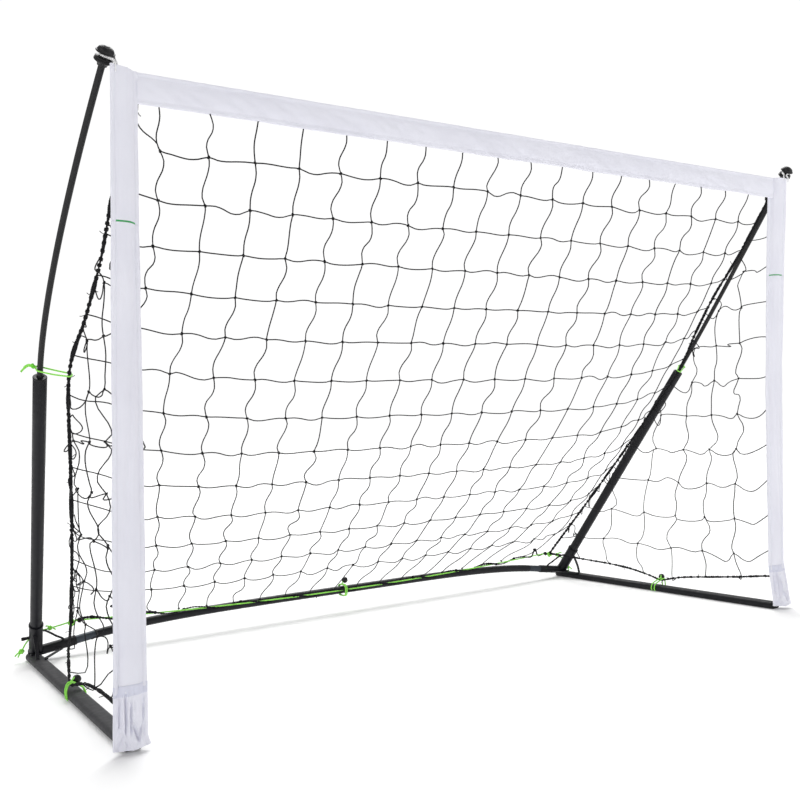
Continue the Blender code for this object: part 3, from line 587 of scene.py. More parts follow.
def bow_pole(name, side):
    """The rod and its cap: a flange with a beaded lip and a neck for the webbing, and a low dome above."""
    body = name + "_bow"
    _, top, up = upright_axis(side)
    above = bow_route(side, 40)
    mesh = Mesh()
    mesh.tube([top - up * POLE_INSERTION, top - up * 0.05, *above], POLE_RADIUS, 32)
    mesh.made(name + "_rod", FIBRE, name + "_bow_pole", body)
    flange = mm((0, 0.5), (7.4, 0.4), (8.4, 1), (8.8, 3), (10, 5.2), (12.8, 7.2), (15.4, 8.6), (16.4, 9.6))
    flange += mm((16.6, 10.6), (16.6, 11.8), (16.2, 12.5), (15, 12.9), (14.7, 13.6), (15, 14.4), (15.7, 15))
    flange += mm((15.8, 16.1), (15, 16.9), (12.2, 17.6), (8, 17.8), (7, 18.4), (6.8, 23.6), (0, 23.6))
    crown = mm((0, 24), (12.8, 24), (15.8, 24.1), (16.8, 24.7), (17, 25.6), (16.7, 26.5), (15.8, 27))
    crown += mm((14.9, 27.2))
    for k in range(1, 8):
        turn = math.radians(9 * k)
        crown.append((0.0146 * math.cos(turn), 0.0274 + 0.0092 * math.sin(turn)))
    crown += mm((6.0, 35.7), (5.5, 36.2), (3.0, 36.6), (0, 36.7))
    for part, outline, node in (("cap_flange", flange, "cap_base"), ("cap_crown", crown, "cap_dome")):
        mesh = Mesh()
        mesh.lathe(outline, above[-1], (above[-1] - above[-2]).normalized())
        mesh.made(f"{name}_{part}", PLASTIC, f"{name}_{node}", body, crease=50)


def rear_bar():
    """Each half of the arched bar: an outer wall, then the bore back again."""
    count, sides = 40, 40
    for name, side in SIDES:
        line = [bar_point(side * (0.0006 + (BAR_END_X - 0.0006) * k / count)) for k in range(count + 1)]
        rings = []
        for radius, order in ((BAR_RADIUS, 1), (BAR_BORE, -1)):
            for k in range(count + 1)[::order]:
                ahead = line[min(k + 1, count)] - line[max(k - 1, 0)]
                second = ahead.normalized().cross(Vector((0, 1, 0)))
                size = radius - (0.0004 if order == 1 and k in (0, count) else 0)
                turns = [2 * PI * i / sides for i in range(sides)]
                rings.append([turned(line[k], Vector((0, 1, 0)), second, size, turn) for turn in turns])
        mesh = Mesh()
        mesh.skin([*rings, rings[0]])
        mesh.made(f"rear_bar_{name}_wall", STEEL, f"rear_bar_{name}_half")


def welds(name, side):
    """The bead where the socket meets its saddle, and the flat strip that stiffens the socket in front."""
    foot, _, up = upright_axis(side)
    low = foot + up * ((TUBE_HEIGHT + 0.005 - foot.z) / up.z)
    up, first, second = axes(up)
    count = 96
    radii = []
    for k in range(count):
        turn = 2 * PI * k / count
        rough = 0.0003 * noise.noise(Vector((turn * 3, side, 0)))
        radii.append(0.0017 + 0.00035 * math.sin(turn * 30) + rough)
    mesh = Mesh()
    bead = wrap(low + up * 0.0022, first, second, SOCKET_RADIUS + 0.0004, 0, 2 * PI, count)[:-1]
    mesh.tube(bead, radii, 8, closed=True)
    mesh.made(name + "_corner_welds", STEEL)
    strip = mm((906, 788, 18.8), (906.5, 796, 44), (907, 812.5, 74))
    strip = smooth_route([put(p, side) for p in strip], 8)
    rings, outline = [], rounded_box(0.0085, 0.003, 0.0008, 3)
    for k, point in enumerate(strip):
        ahead = strip[min(k + 1, len(strip) - 1)] - strip[max(k - 1, 0)]
        out = ahead.normalized().cross(Vector((1, 0, 0)))
        rings.append([point + Vector((a, 0, 0)) + out * b for a, b in outline])
    mesh = Mesh()
    mesh.skin(rings, caps=True)
    mesh.made(name + "_socket_gusset", STEEL)


def finish_cad_nodes():
    """Smooth shading and materials for the CAD nodes that stay as they are."""
    finishes = {
        STEEL: ("corner_socket", "corner_brace"),
        RUBBER: ("front_plug", "stop_peg"),
        PLASTIC: ("upright_foot_plug", "pole_seat"),
        FERRULE: ("stub_ferrule",),
    }
    chosen = {"rear_bar_middle_ferrule": FERRULE, "rear_bar_shock_cord": BLACK_CORD}
    for look, parts in finishes.items():
        chosen.update({f"{name}_{part}": look for name, _ in SIDES for part in parts})
    for node, look in chosen.items():
        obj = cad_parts[node]
        obj.data.materials.clear()
        obj.data.materials.append(look.material)
        for polygon in obj.data.polygons:
            polygon.use_smooth = True
        obj.modifiers.new("Weld", "WELD").merge_threshold = 0.00002
        split = obj.modifiers.new("Edge Split", "EDGE_SPLIT")
        split.split_angle = math.radians(35)
        split.use_edge_sharp = False


# Cloth front frame


def post_middle(z):
    return Vector((POST_FOOT[0] + POST_LEAN[0] * z, POST_FOOT[1] + POST_LEAN[1] * z, z))


def post_width(z):
    return POST_WIDTH - POST_TAPER * z


def hang_share(z, side):
    heights, shares = (0.02, 0.13, 0.6, 0.92, 1.19), (0.1, 0.85, 1.0, 0.8, 0.45)
    return float(np.interp(z, heights, shares)) if side > 0 else 0.0


def hang(z, side):
    """How far the right-hand sleeve hangs back and in from the line between its ends."""
    return Vector((-0.0108, 0.0172, 0)) * hang_share(z, side)


def post_turn(z, side):
    """How far a post's cloth faces inward at a height; the slack right-hand one faces less so."""
    return math.radians(POST_TURN[0] + POST_TURN[1] * z - 7.0 * hang_share(z, side))


def post_front(z, side):
    """The way a post's cloth faces."""
    turn = post_turn(z, side)
    return Vector((-side * math.sin(turn), -math.cos(turn), 0))


def fold(x, y, z, scale, seed):
    return noise.fractal(Vector((x, y, z)) * scale + Vector((seed, seed * 1.7, -seed)), 1.0, 2.0, 3)


def band_section(width, bulge, hem, steps=16):
    """Half a flattened sleeve's outline: thin sewn edges, a groove at the stitching, a bulge between."""
    outline = []
    flat = width / 2 - hem
    for k in range(-steps, steps + 1):
        a = math.sin(k / steps * PI / 2) * width / 2
        inside = max(1 - (abs(a) / flat) ** 2.2, 0.0)
        edge = max((abs(a) - flat) / hem, 0.0)
        thick = 0.001 + bulge * inside**0.85 + 0.0013 * math.sin(PI * min(edge, 1.0)) ** 0.7
        if k in (-steps, steps):
            thick *= 0.35
        outline.append((a, thick))
    return outline


def both_walls(half):
    """Each place across a sleeve with the sign of its wall: the front from left to right, then the rear."""
    return [(-1, *point) for point in half] + [(1, *point) for point in half[::-1]]


def cloth_ring(z, side, bulge, ease=0.0, steps=16, push=None):
    """One ring of a post's cloth at a height.

    push, when given, moves each point by its place across (-1 to 1) and its wall's sign, front -1."""
    width, turn, seed = post_width(z) + ease, post_turn(z, side), CLOTH_SEED[side]
    middle = post_middle(z) + hang(z, side)
    ring = []
    for sign, a, thick in both_walls(band_section(width, bulge, HEM, steps)):
        wave = fold(a * 2.2, sign * 0.02, z * 0.35, 22.0, seed) * RIPPLE * 1.5
        crease = a + width * (0.35 - 0.9 * (0.92 - z)) * side
        wave += 2.2 * RIPPLE * math.exp(-((crease / 0.0055) ** 2)) * min(max(0.95 - z, 0.0) * 12, 1.0)
        across = a + fold(0.0, 0.3, z, 5.0, seed + math.copysign(3, a)) * 0.0012 * abs(2 * a / width)
        back = sign * thick + wave
        if push:
            more_across, more_back = push(2 * a / width, sign)
            across += more_across
            back += more_back
        x = across * math.cos(turn) + side * back * math.sin(turn)
        y = back * math.cos(turn) - side * across * math.sin(turn)
        ring.append(Vector((side * middle.x + x, MOUTH_Y + middle.y + y, z)))
    return ring


def stitches(mesh, route, out, pitch=0.0036, length=0.0026, radius=0.00028):
    """A row of stitches along a route that lies on cloth; out is the way the cloth faces."""
    line = even(route, pitch)
    low = out * radius * 1.4
    for k in range(1, len(line) - 1):
        ahead = Vector(line[k + 1] - line[k - 1]).normalized() * length / 2
        middle = Vector(line[k]) + out * radius * 0.6
        start, end = middle - ahead * 0.7, middle + ahead * 0.7
        mesh.tube([middle - ahead - low, start, end, middle + ahead - low], radius, 5)


def sew(name, rings, widths, hem, steps, out, **stitch):
    """A row of stitches at each edge of a sleeve, on the points of its rings nearest to its hem."""
    thread = Mesh()
    for edge in (-1, 1):
        route = []
        for ring, width in zip(rings, widths):
            off = [abs(a - edge * (width / 2 - hem)) for a, _ in band_section(width, 0.0, hem, steps)]
            route.append(ring[off.index(min(off))])
        stitches(thread, route, out, **stitch)
    return thread.made(name, THREAD)


def post_cloth(name, side):
    """The plain sleeve and the header panel above it, with stitching and the green rule between them."""
    for piece, low, high, bulge in (
        ("post_sleeve", POCKET_TOP - 0.014, HEADER_FOOT - 0.0004, SLEEVE_BULGE),
        ("header_panel", HEADER_FOOT, TOP_Z, HEADER_BULGE),
    ):
        count = int((high - low) / 0.008)
        rings = [cloth_ring(low + (high - low) * k / count, side, bulge) for k in range(count + 1)]
        mesh = Mesh()
        mesh.skin(rings, caps=True)
        cloth = mesh.made(f"{name}_{piece}_cloth", CLOTH, f"{name}_{piece}", crease=75)
        widths = [post_width(z) for z in np.linspace(low, high, len(rings))]
        sewn = sew(f"{name}_{piece}_stitching", rings, widths, HEM, 16, post_front(low, side))
    rings = []
    for lift, proud in mm((-0.4, 0), (0, 0.7), (2.4, 0.7), (2.8, 0)):
        ring = cloth_ring(HEADER_FOOT + lift, side, HEADER_BULGE + proud)
        quarter = len(ring) // 4
        rings.append(ring[quarter - 8 : quarter + 9])
    rule = Mesh()
    rule.skin(rings, closed=False)
    rule.made(name + "_header_piping", PIPING)


def pocket_crease(u, v):
    """How deep a foot pocket's front is creased; u runs across it from -1 to 1 and v up it from 0 to 1."""
    depth = 0.0
    for start, lean, wide, low, high, amount in POCKET_CREASES:
        off = (u - start - lean * v) / wide
        ends = limit((v - low) * 9) * limit((high - v) * 5)
        depth += 1.35 * amount * ends * (math.exp(-(off**2)) - 0.55 * math.exp(-((off - 1.7) ** 2)))
    return depth


def foot_pocket(name, side):
    """A flat cup of cloth over the side tube's end, with gathers that meet in a V at the foot."""
    seed, count, steps = CLOTH_SEED[side], 84, 36
    rings = []
    for level in range(count + 1):
        v = level / count
        z = POCKET_FOOT + (POCKET_TOP - POCKET_FOOT) * v
        flare = max(0.22 - v, 0.0) / 0.22
        gather = min((1 - v) * 6, 1.0)
        behind = 0.006 * gather + 0.015 * max(0.3 - v, 0.0) / 0.3

        def push(u, sign, v=v, z=z, flare=flare, gather=gather, behind=behind):
            shift = 0.003 * flare**2 * (1 + u)
            fade = min((1 - abs(u)) * 6, 1.0)
            if sign > 0:
                fine = 0.0012 * abs(fold(u * 0.03, 0.1, z * 0.4, 60.0, seed + 5))
                return shift, behind * (1 - abs(u) ** 2.4) - fine * fade
            fine = (abs(fold(u * 0.035, 0.0, z * 0.45, 80.0, seed + 17)) ** 0.8 - 0.4) * 0.003
            return shift, (pocket_crease(u, v) + fine) * fade * gather - 0.002 * flare * (1 - u * u)

        ring = cloth_ring(z, side, POCKET_BULGE, POCKET_EASE, steps, push)
        for k, point in enumerate(ring):
            u = 1 - abs(2 * (k % (2 * steps + 1)) / (2 * steps) - 1)
            point.z += (-0.0022 * u + 0.0016 * fold(point.x, point.y, 0.0, 45.0, seed)) * flare
        rings.append(ring)
    middle = sum(rings[0], Vector()) / len(rings[0])
    rings.insert(0, [p.lerp(middle, 0.1) + Vector((0, 0, 0.001)) for p in rings[0]])
    mesh = Mesh()
    mesh.skin(rings)
    pocket = mesh.made(name + "_foot_pocket_cloth", POCKET, name + "_foot_pocket", crease=80)
    trim_pocket(pocket, side)
    solid = pocket.modifiers.new("Thickness", "SOLIDIFY")
    solid.thickness = 0.0007
    solid.offset = -1
    hem = Mesh()
    for z in (POCKET_TOP - 0.003, POCKET_TOP - 0.017):
        ring = cloth_ring(z, side, POCKET_BULGE, POCKET_EASE)
        stitches(hem, ring[3 : len(ring) // 2 - 3], post_front(POCKET_TOP, side), 0.0034)
    sewn = hem.made(name + "_pocket_stitching", THREAD)


def trim_pocket(pocket, side):
    """Opens the pocket's rear wall where the side tube passes in."""
    work = bmesh.new()
    work.from_mesh(pocket.data)
    doomed = []
    for face in work.faces:
        centre = face.calc_center_median()
        near = abs(centre.x - side * HALF_WIDTH) < TUBE_WIDTH / 2 + 0.0015
        if near and centre.z < TUBE_HEIGHT + 0.003 and centre.y > MOUTH_Y + TUBE_FRONT - 0.005:
            doomed.append(face)
    bmesh.ops.delete(work, geom=doomed, context="FACES")
    work.to_mesh(pocket.data)
    work.free()


def crossbar():
    """The sleeve between the posts: a flat tube of cloth with sewn edges and shallow hanging creases."""
    seed, count, steps = 2.0, 400, 10
    middle = post_middle(TOP_Z - CROSSBAR_HEIGHT / 2)
    lean = Vector((0, POST_LEAN[1], 1)).normalized()
    across = Vector((0, 1, -POST_LEAN[1])).normalized()
    half = band_section(CROSSBAR_HEIGHT, CROSSBAR_BULGE, CROSSBAR_HEM, steps)
    rings = []
    for k in range(count + 1):
        x = -CROSSBAR_REACH + 2 * CROSSBAR_REACH * k / count
        droop = 0.0022 * math.cos(x * 3.1) + 0.001 * fold(x, 0, 0, 3.0, seed)
        ring = []
        for sign, a, thick in both_walls(half):
            below = 0.5 - a / CROSSBAR_HEIGHT
            crease = fold(x * 1.0 + a * 1.6, 0, a * 0.5, 13.0, seed) * 0.003 * (0.35 + below)
            crease += fold(x + a * 0.9, 0, a * 1.6, 46.0, seed + 7) * 0.0011
            low = 0.0016 * fold(x, 0, 0.4, 6.0, seed + 2) * below - droop * below * 0.4
            at = Vector((x, MOUTH_Y + middle.y + 0.009, middle.z))
            ring.append(at + lean * (a + low) + across * (sign * thick + crease))
        rings.append(ring)
    mesh = Mesh()
    mesh.skin(rings, caps=True)
    cloth = mesh.made("crossbar_cloth", CLOTH, "crossbar_sleeve", crease=75)
    widths, stitch = [CROSSBAR_HEIGHT] * len(rings), {"pitch": 0.004, "length": 0.0028}
    sewn = sew("crossbar_stitching", rings, widths, CROSSBAR_HEM, steps, -across, **stitch)


# Net


def settle(points, held, chains, lengths, steps=330, pull=0.00002):
    """Lets a net of twine hang: points move under their weight and each link keeps its length."""
    groups = []
    for parity in (0, 1):
        links = [
            (chain[k], chain[k + 1], sizes[k])
            for chain, sizes in zip(chains, lengths)
            for k in range(parity, len(chain) - 1, 2)
        ]
        a, b, size = (np.array(part) for part in zip(*links))
        seen, colour = {}, np.zeros(len(a), int)
        for n, (p, q) in enumerate(zip(a, b)):
            used = seen.setdefault(p, set()) | seen.setdefault(q, set())
            colour[n] = next(c for c in range(8) if c not in used)
            seen[p].add(colour[n])
            seen[q].add(colour[n])
        groups += [(a[colour == c], b[colour == c], size[colour == c]) for c in range(colour.max() + 1)]
    weight = np.where(held, 0.0, 1.0)
    previous = points.copy()
    for _ in range(steps):
        velocity = (points - previous) * 0.97
        previous = points.copy()
        points = points + velocity * weight[:, None]
        points[:, 2] -= pull * weight
        for _ in range(14):
            for a, b, size in groups:
                apart = points[b] - points[a]
                length = np.linalg.norm(apart, axis=1)
                total = weight[a] + weight[b]
                total = np.where(total > 0, total, 1)
                share = np.where(length > size, (length - size) / np.maximum(length, 1e-9), 0.0)
                short = size * 0.93
                share += np.where(length < short, (length - short) / np.maximum(length, 1e-9), 0.0)
                move = apart * (share / total)[:, None]
                points[a] += move * weight[a][:, None]
                points[b] -= move * weight[b][:, None]
    return points


class Net:
    """Twine between knots: points, which of them are held, and chains of links with their lengths."""

    def __init__(self, seed):
        self.draws = np.random.default_rng(seed)
        self.points, self.held, self.chains, self.lengths = [], [], [], []

    def point(self, at, held=False):
        self.points.append(np.array(tuple(at), float))
        self.held.append(held)
        return len(self.points) - 1

    def start(self, point):
        self.chains.append([point])
        self.lengths.append([])

    def link(self, end, slack, least=0.0):
        """Twine from the last chain's end to another knot, cut to their distance times slack."""
        chain = self.chains[-1]
        a, b = self.points[chain[-1]], self.points[end]
        real = max(np.linalg.norm(b - a) * slack, least)
        chain += [self.point(a + (b - a) * k / LINKS) for k in range(1, LINKS)] + [end]
        self.lengths[-1] += [real / LINKS] * LINKS

    def hang(self, jitter, kink, sway=0.0, level=0):
        """Settles the twine, then adds the lasting bends of a net that was folded away.

        The chains after the first ones, as many as level says, also bend alike, by sway to each side."""
        points, held = np.array(self.points), np.array(self.held)
        points += self.draws.normal(0, jitter, points.shape) * ~held[:, None]
        points = settle(points, held, self.chains, self.lengths)
        bends = self.draws.normal(0.0, 1.0, (len(self.chains), 400, 3))
        self.points = points.copy()
        for c, chain in enumerate(self.chains):
            for k in range(1, len(chain) - 1):
                cell, part = divmod(k, LINKS)
                if part and not held[chain[k]]:
                    shape, skew = math.sin(PI * part / LINKS), math.sin(2 * PI * part / LINKS)
                    bend = bends[c, 2 * cell] * shape + bends[c, 2 * cell + 1] * skew
                    self.points[chain[k]] += bend * kink
                    self.points[chain[k], 0] += sway * skew if c >= level else 0.0

    def skin(self):
        mesh = Mesh()
        for chain in self.chains:
            mesh.tube(smooth_route([Vector(self.points[k]) for k in chain], 2), TWINE, 6)
        return mesh


def knot(mesh, centre, up, across, draws):
    """A net knot: two close turns of twine round the crossing."""
    start = draws.uniform(0, 2 * PI)
    axis = (up + across * draws.uniform(-0.6, 0.6)).normalized()
    first = (across - axis * across.dot(axis)).normalized()
    path = []
    for k in range(19):
        turn = start + 4 * PI * k / 18
        at = turned(centre, first, axis.cross(first), 0.0017 + 0.0004 * math.sin(turn * 0.5), turn)
        path.append(at + axis * ((k / 18 - 0.5) * 0.0042))
    mesh.tube(path, TWINE * 1.05, 6)


def back_net():
    """Nineteen squares across, hung between crossbar, seam ropes and the rope on the rear elastic."""
    net = Net(11)
    left, right = seam_route(-1), seam_route(1)
    top_z = TOP_Z - CROSSBAR_HEIGHT + 0.002
    drops = [0.0, *(0.06 + 0.0945 * min(k, 4) + 0.1045 * max(k - 4, 0) for k in range(ROWS)), 1.43]
    columns = [0.0, *(0.0212 + 0.05423 * k for k in range(CELLS_ACROSS - 1)), 1.0]
    climb = {1: 0.04, 2: 0.016}
    high, wide = ROWS + 2, CELLS_ACROSS + 1
    number = {}
    for r, share in enumerate(0.965 * np.array(drops) / drops[-1]):
        rows, gathers = (0, 1, 2, 3, 5, 9, 12, 14), (0, 0.021, 0.038, 0.045, 0.051, 0.062, 0.078, 0.072)
        gather = float(np.interp(r, rows, gathers))
        reach = 7.5 + 6.5 * limit((r - 6) / 6)
        for c in range(wide):
            t = columns[c] + (gather / 1.75 * max(1 - (c - 2) / reach, 0.0) if c else 0.0)
            if r == 0:
                at = Vector(((2 * t - 1) * 0.874, MOUTH_Y + post_middle(top_z).y + 0.0085, top_z))
            elif r == high - 1:
                at = elastic_point((2 * t - 1) * 0.785) + Vector((0, 0.0, 0.0055))
            else:
                lift = climb.get(r, 0.0) if c == 0 else 0.0
                at = point_at(left, share * 1.03 - lift).lerp(point_at(right, share * 1.03), t)
            number[r, c] = net.point(at, r in (0, high - 1) or c in (0, wide - 1))
    for r in range(1, high - 1):
        net.start(number[r, 0])
        for c in range(wide - 1):
            slack = 1.004 + 0.055 * max(c / wide - 0.35, 0.0) * (0.3 + r / high)
            net.link(number[r, c + 1], slack + 0.014 * net.draws.uniform(0, 1) * r / high)
    for c in range(1, wide - 1):
        net.start(number[0, c])
        for r in range(1, high):
            net.link(number[r, c], 1.004)
    net.hang(0.0004, 0.0022, 0.0042, high - 2)
    mesh = net.skin()
    for r in range(1, high):
        for c in range(1, wide - 1):
            at = net.points[number[r, c]]
            up, across = Vector((1, 0, 0)), Vector((0, 0, 1))
            if r < high - 1:
                up = Vector(net.points[number[r - 1, c]] - at).normalized()
                across = Vector(net.points[number[r, c + 1]] - at).normalized()
            knot(mesh, Vector(at), up, across, net.draws)
    mesh.made("back_net_twine", NET_TWINE, "back_net", crease=60)


def side_net(name, side):
    """A triangle of the same net between post, seam rope and side rope, with a slack edge at the seam."""
    net = Net(31 + side)
    seam, foot = seam_route(side), side_route(side)
    heights = [0.166 + 0.0985 * k for k in range(10)]
    spacing = (0.0, 0.128, 0.242, 0.36, 0.49, 0.625, 0.74)
    feet = (0.0, 0.12, 0.235, 0.345, 0.47, 0.6, 0.712)
    columns = range(1, len(spacing))
    number = {}
    for r, z in enumerate(heights):
        y = post_middle(z).y + 0.0245 * math.sin(post_turn(z, side)) + 0.003
        front = put(Vector((0.8835, y, z)) + hang(z, side), side)
        back = point_where(seam, 2, z)
        number[r, 0] = net.point(front, True)
        for c in columns:
            y = front.y + spacing[c] * (1 - 0.45 * (z - 0.17))
            if y > back.y - 0.03:
                break
            number[r, c] = net.point(front.lerp(back, (y - front.y) / (back.y - front.y)))
    for r, z in enumerate(heights):
        net.start(number[r, 0])
        for c in columns:
            if (r, c) in number:
                net.link(number[r, c], 1.03)
        end = net.point(point_where(seam, 2, z + net.draws.uniform(-0.012, 0.012)), True)
        net.link(end, 1.05 + 0.25 * net.draws.uniform(0, 1), 0.06)
    for c in columns:
        net.start(net.point(point_where(foot, 1, MOUTH_Y + feet[c]), True))
        for r in range(len(heights)):
            if (r, c) in number:
                net.link(number[r, c], 1.015)
        end = net.point(point_where(seam, 1, net.points[net.chains[-1][-1]][1] + 0.014), True)
        net.link(end, 1.03)
    net.hang(0.0008, 0.006)
    mesh = net.skin()
    for (_, c), k in number.items():
        if c:
            knot(mesh, Vector(net.points[k]), Vector((0, 0, 1)), Vector((0, 1, 0)), net.draws)
    seam_loops(mesh, seam, side, net.draws)
    mesh.made(name + "_side_net_twine", NET_TWINE, name + "_side_net", crease=60)


def seam_loops(mesh, seam, side, draws):
    """Slack curls of the net's edge squares, gathered against the seam rope below the pole tie."""
    count = 11
    for k in range(count):
        at = point_at(seam, 0.47 + 0.46 * (k + draws.uniform(-0.3, 0.3)) / count)
        size, tilt = draws.uniform(0.007, 0.016), draws.uniform(-0.8, 0.8)
        out = Vector((side * draws.uniform(-0.7, 0.3), -0.8, 0.2 * tilt)).normalized()
        up = Vector((0.1 * side, 0.3 * tilt, 1)).normalized()
        route = []
        for step in range(15):
            turn = 2 * PI * step / 14
            bulge = 1 + 0.3 * math.sin(turn * 2 + tilt * 3)
            along = up * (size * 1.4 * math.sin(turn))
            route.append(at + out * (size * (1 - math.cos(turn))) * bulge + along)
        mesh.tube(smooth_route(route, 3), TWINE, 6)


# Ropes and elastic ties


def knot_lump(mesh, centre, axis, radius, draws, twine=0.0012):
    """Three turns of twine drawn tight round a rope, now and then with a loose end."""
    axis, first, second = axes(axis)
    start = draws.uniform(0, 6.28)
    route = wrap(centre, first, second, radius, start, start + 6 * PI, 30, axis * 0.006)
    mesh.tube(route, twine, 6)
    if draws.uniform() < 0.22:
        out = (first * math.cos(start) + second * math.sin(start)).normalized()
        length = draws.uniform(0.006, 0.011)
        end = route[0] + (out + axis * draws.uniform(-0.8, 0.8)).normalized() * length
        mesh.tube([route[0], route[0].lerp(end, 0.5) + axis * 0.001, end], twine * 0.8, 5)


def net_ropes(name, side):
    """The laid ropes on the net's rear and lower edges, with the lumps where its squares are tied on."""
    draws = np.random.default_rng(50 + side)
    seam, foot = seam_route(side), side_route(side)
    sewn = put((0.8745, -0.09, 1.147), side) + hang(1.15, side)
    seam = [sewn, sewn.lerp(seam[0], 0.5), *seam]
    for part, route, radius, strands, pitch, count in (
        ("seam", seam, SEAM_ROPE, 3, 0.013, 92),
        ("side", foot, SIDE_ROPE, 2, 0.016, 34),
    ):
        mesh = Mesh()
        laid_rope(mesh, route, radius, strands, pitch, 0.75, side + 3)
        for k in range(count):
            share = (k + 0.5 + draws.uniform(-0.2, 0.2)) / count
            at = point_at(route, share)
            knot_lump(mesh, at, point_at(route, share + 0.01) - at, radius - 0.0003, draws, 0.001)
        mesh.made(f"{name}_{part}_laid_rope", ROPE, f"{name}_{part}_rope", crease=60)


def rear_cords():
    """The green elastic from corner to corner, and the net's rear rope wound round it with a slack hump."""
    mesh = Mesh()
    route = [elastic_point(REAR_ELASTIC_END * (k / 60 - 1)) for k in range(121)]
    mesh.tube([put(NET_CORNER, -1), *route, put(NET_CORNER)], ELASTIC, 12)
    mesh.made("rear_elastic_cord", GREEN, "rear_elastic")
    rope, count, draws = [], 420, np.random.default_rng(5)
    for k in range(count + 1):
        x = -0.798 + 1.596 * k / count
        turn = 22 * PI * k / count
        wind = 0.0055 + 0.001 * noise.noise(Vector((x * 14, 2.0, 0)))
        hump = 0.03 * math.exp(-(((x - 0.756) / 0.011) ** 2))
        wound = turned(elastic_point(x), Vector((0, 1, 0)), Vector((0, 0, 1)), wind, turn)
        rope.append(wound + Vector((0, -hump * 0.2, hump)))
    mesh = Mesh()
    laid_rope(mesh, rope, REAR_ROPE, 2, 0.016, 0.5, 2)
    for k in range(19):
        at = Vector(rope[int((k + 0.5) / 19 * count)])
        knot_lump(mesh, at, Vector((1, 0, 0)), REAR_ROPE + 0.0005, draws)
    for _, side in SIDES:
        at = put((0.792, 0.831, 0.094), side)
        mesh.ball(at, 0.0052, (1.2, 1.0, 1.0), 7)
        knot_lump(mesh, at, Vector((side, -0.3, 0.4)), 0.005, draws, 0.0017)
    mesh.made("rear_laid_rope", ROPE, "rear_rope", crease=60)


def pole_tie(name, side):
    """Green elastic from the seam rope round the rod just above the upright, with a knot and two tails."""
    _, top, up = upright_axis(side)
    pole, rope = top + up * 0.025, put(SEAM_LOOP, side)
    level = (rope - pole).normalized()
    across = up.cross(level).normalized()
    thick = 0.0017
    wide, narrow = POLE_RADIUS + thick + 0.0006, SEAM_ROPE + thick + 0.0004
    route = wrap(pole, level, across, wide, PI / 2, 3 * PI / 2, 12)
    route = [p + up * 0.0022 * math.cos(PI + 2 * PI * k / 12) for k, p in enumerate(route)]
    loop = wrap(rope, level, across, narrow, -PI / 2, PI / 2, 12)
    sag = Vector((0, 0, -0.0015))
    low, high = (
        [start.lerp(end, t / 6) + sag * share * math.sin(PI * t / 6) for t in range(1, 6)]
        for start, end, share in ((route[-1], loop[0], 1.0), (loop[-1], route[0], 0.3))
    )
    mesh = Mesh()
    mesh.tube(smooth_route([*route, *low, *loop, *high], 2), thick, 10, closed=True)
    back = pole - level * (wide + 0.0058)
    mesh.ball(back, 0.0046, (1.15, 1.0, 0.9), 7)
    mesh.ball(back + up * 0.0042 - level * 0.002, 0.0034, (1.0, 1.1, 1.0), 6)
    for drop, spread in ((0.016, 0.4), (0.02, -0.5)):
        bends = ((0.01, 0.006, 0.001), (0.019, 0.012, -drop * 0.3), (0.024, 0.015, -drop * 0.62))
        tail = [back - level * out + across * spread * wide + Vector((0, 0, z)) for out, wide, z in bends]
        mesh.tube(smooth_route([back, *tail], 5), [0.002] * 15 + [0.0022], 10)
    piece = mesh.made(name + "_pole_tie_cord", GREEN, name + "_pole_tie", body=None)
    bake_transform(piece)


def corner_ties(name, side):
    """At the net's rear corner: green elastic to a knot outside the socket, and black cord to the bar."""
    mesh = Mesh()
    points = [NET_CORNER, (0.8215, 0.836, 0.0905), (0.862, 0.853, 0.08), (0.884, 0.868, 0.074)]
    points += [(0.902, 0.8695, 0.064), (0.919, 0.862, 0.05), (0.927, 0.868, 0.034), (0.929, 0.872, 0.027)]
    cord(mesh, points, side)
    seam = seam_route(side)
    along, first, second = axes(seam[-1] - seam[-5])
    start, end, wide = 0.3, 0.3 + 5 * PI, SEAM_ROPE + 0.003
    lashing = wrap(seam[-1] - along * 0.004, first, second, wide, start, end, 40, along * 0.0105)
    mesh.tube(lashing, ELASTIC, 10)
    for place, size, tails in (
        ((0.862, 0.851, 0.0815), 0.0056, ((0.012, -0.012, 0.008), (-0.01, -0.016, -0.003))),
        ((0.929, 0.873, 0.0285), 0.0062, ((0.008, 0.004, -0.015), (0.017, -0.004, -0.01))),
    ):
        at = put(place, side)
        mesh.ball(at, size, (1.1, 0.95, 1.0), 7)
        for turn in (0.4, 1.6, 2.7):
            axis, first, second = axes(Vector((math.cos(turn), 0.3 * side, math.sin(turn))))
            loop = wrap(at, first, second, size, turn, turn + 1.7 * PI, 14, axis * 0.002)
            mesh.tube(loop, ELASTIC * 0.8, 8)
        for offset in tails:
            tail = at + Vector((side * offset[0], offset[1], offset[2]))
            bend = at.lerp(tail, 0.5) + Vector((0, 0, 0.002))
            mesh.tube(smooth_route([at, bend, tail], 5), 0.0019, 10)
    mesh.made(name + "_corner_tie_cord", GREEN, name + "_corner_tie")
    mesh = Mesh()
    points = [(0.8885, 0.8345, 0.08), (0.8765, 0.843, 0.078), (0.862, 0.852, 0.069), (0.845, 0.859, 0.057)]
    cord(mesh, [*points, (0.829, 0.864, 0.0475), (0.8225, 0.8665, 0.0375)], side, 0.0027)
    mesh.made(name + "_corner_black_cord", BLACK_CORD, name + "_corner_cord")


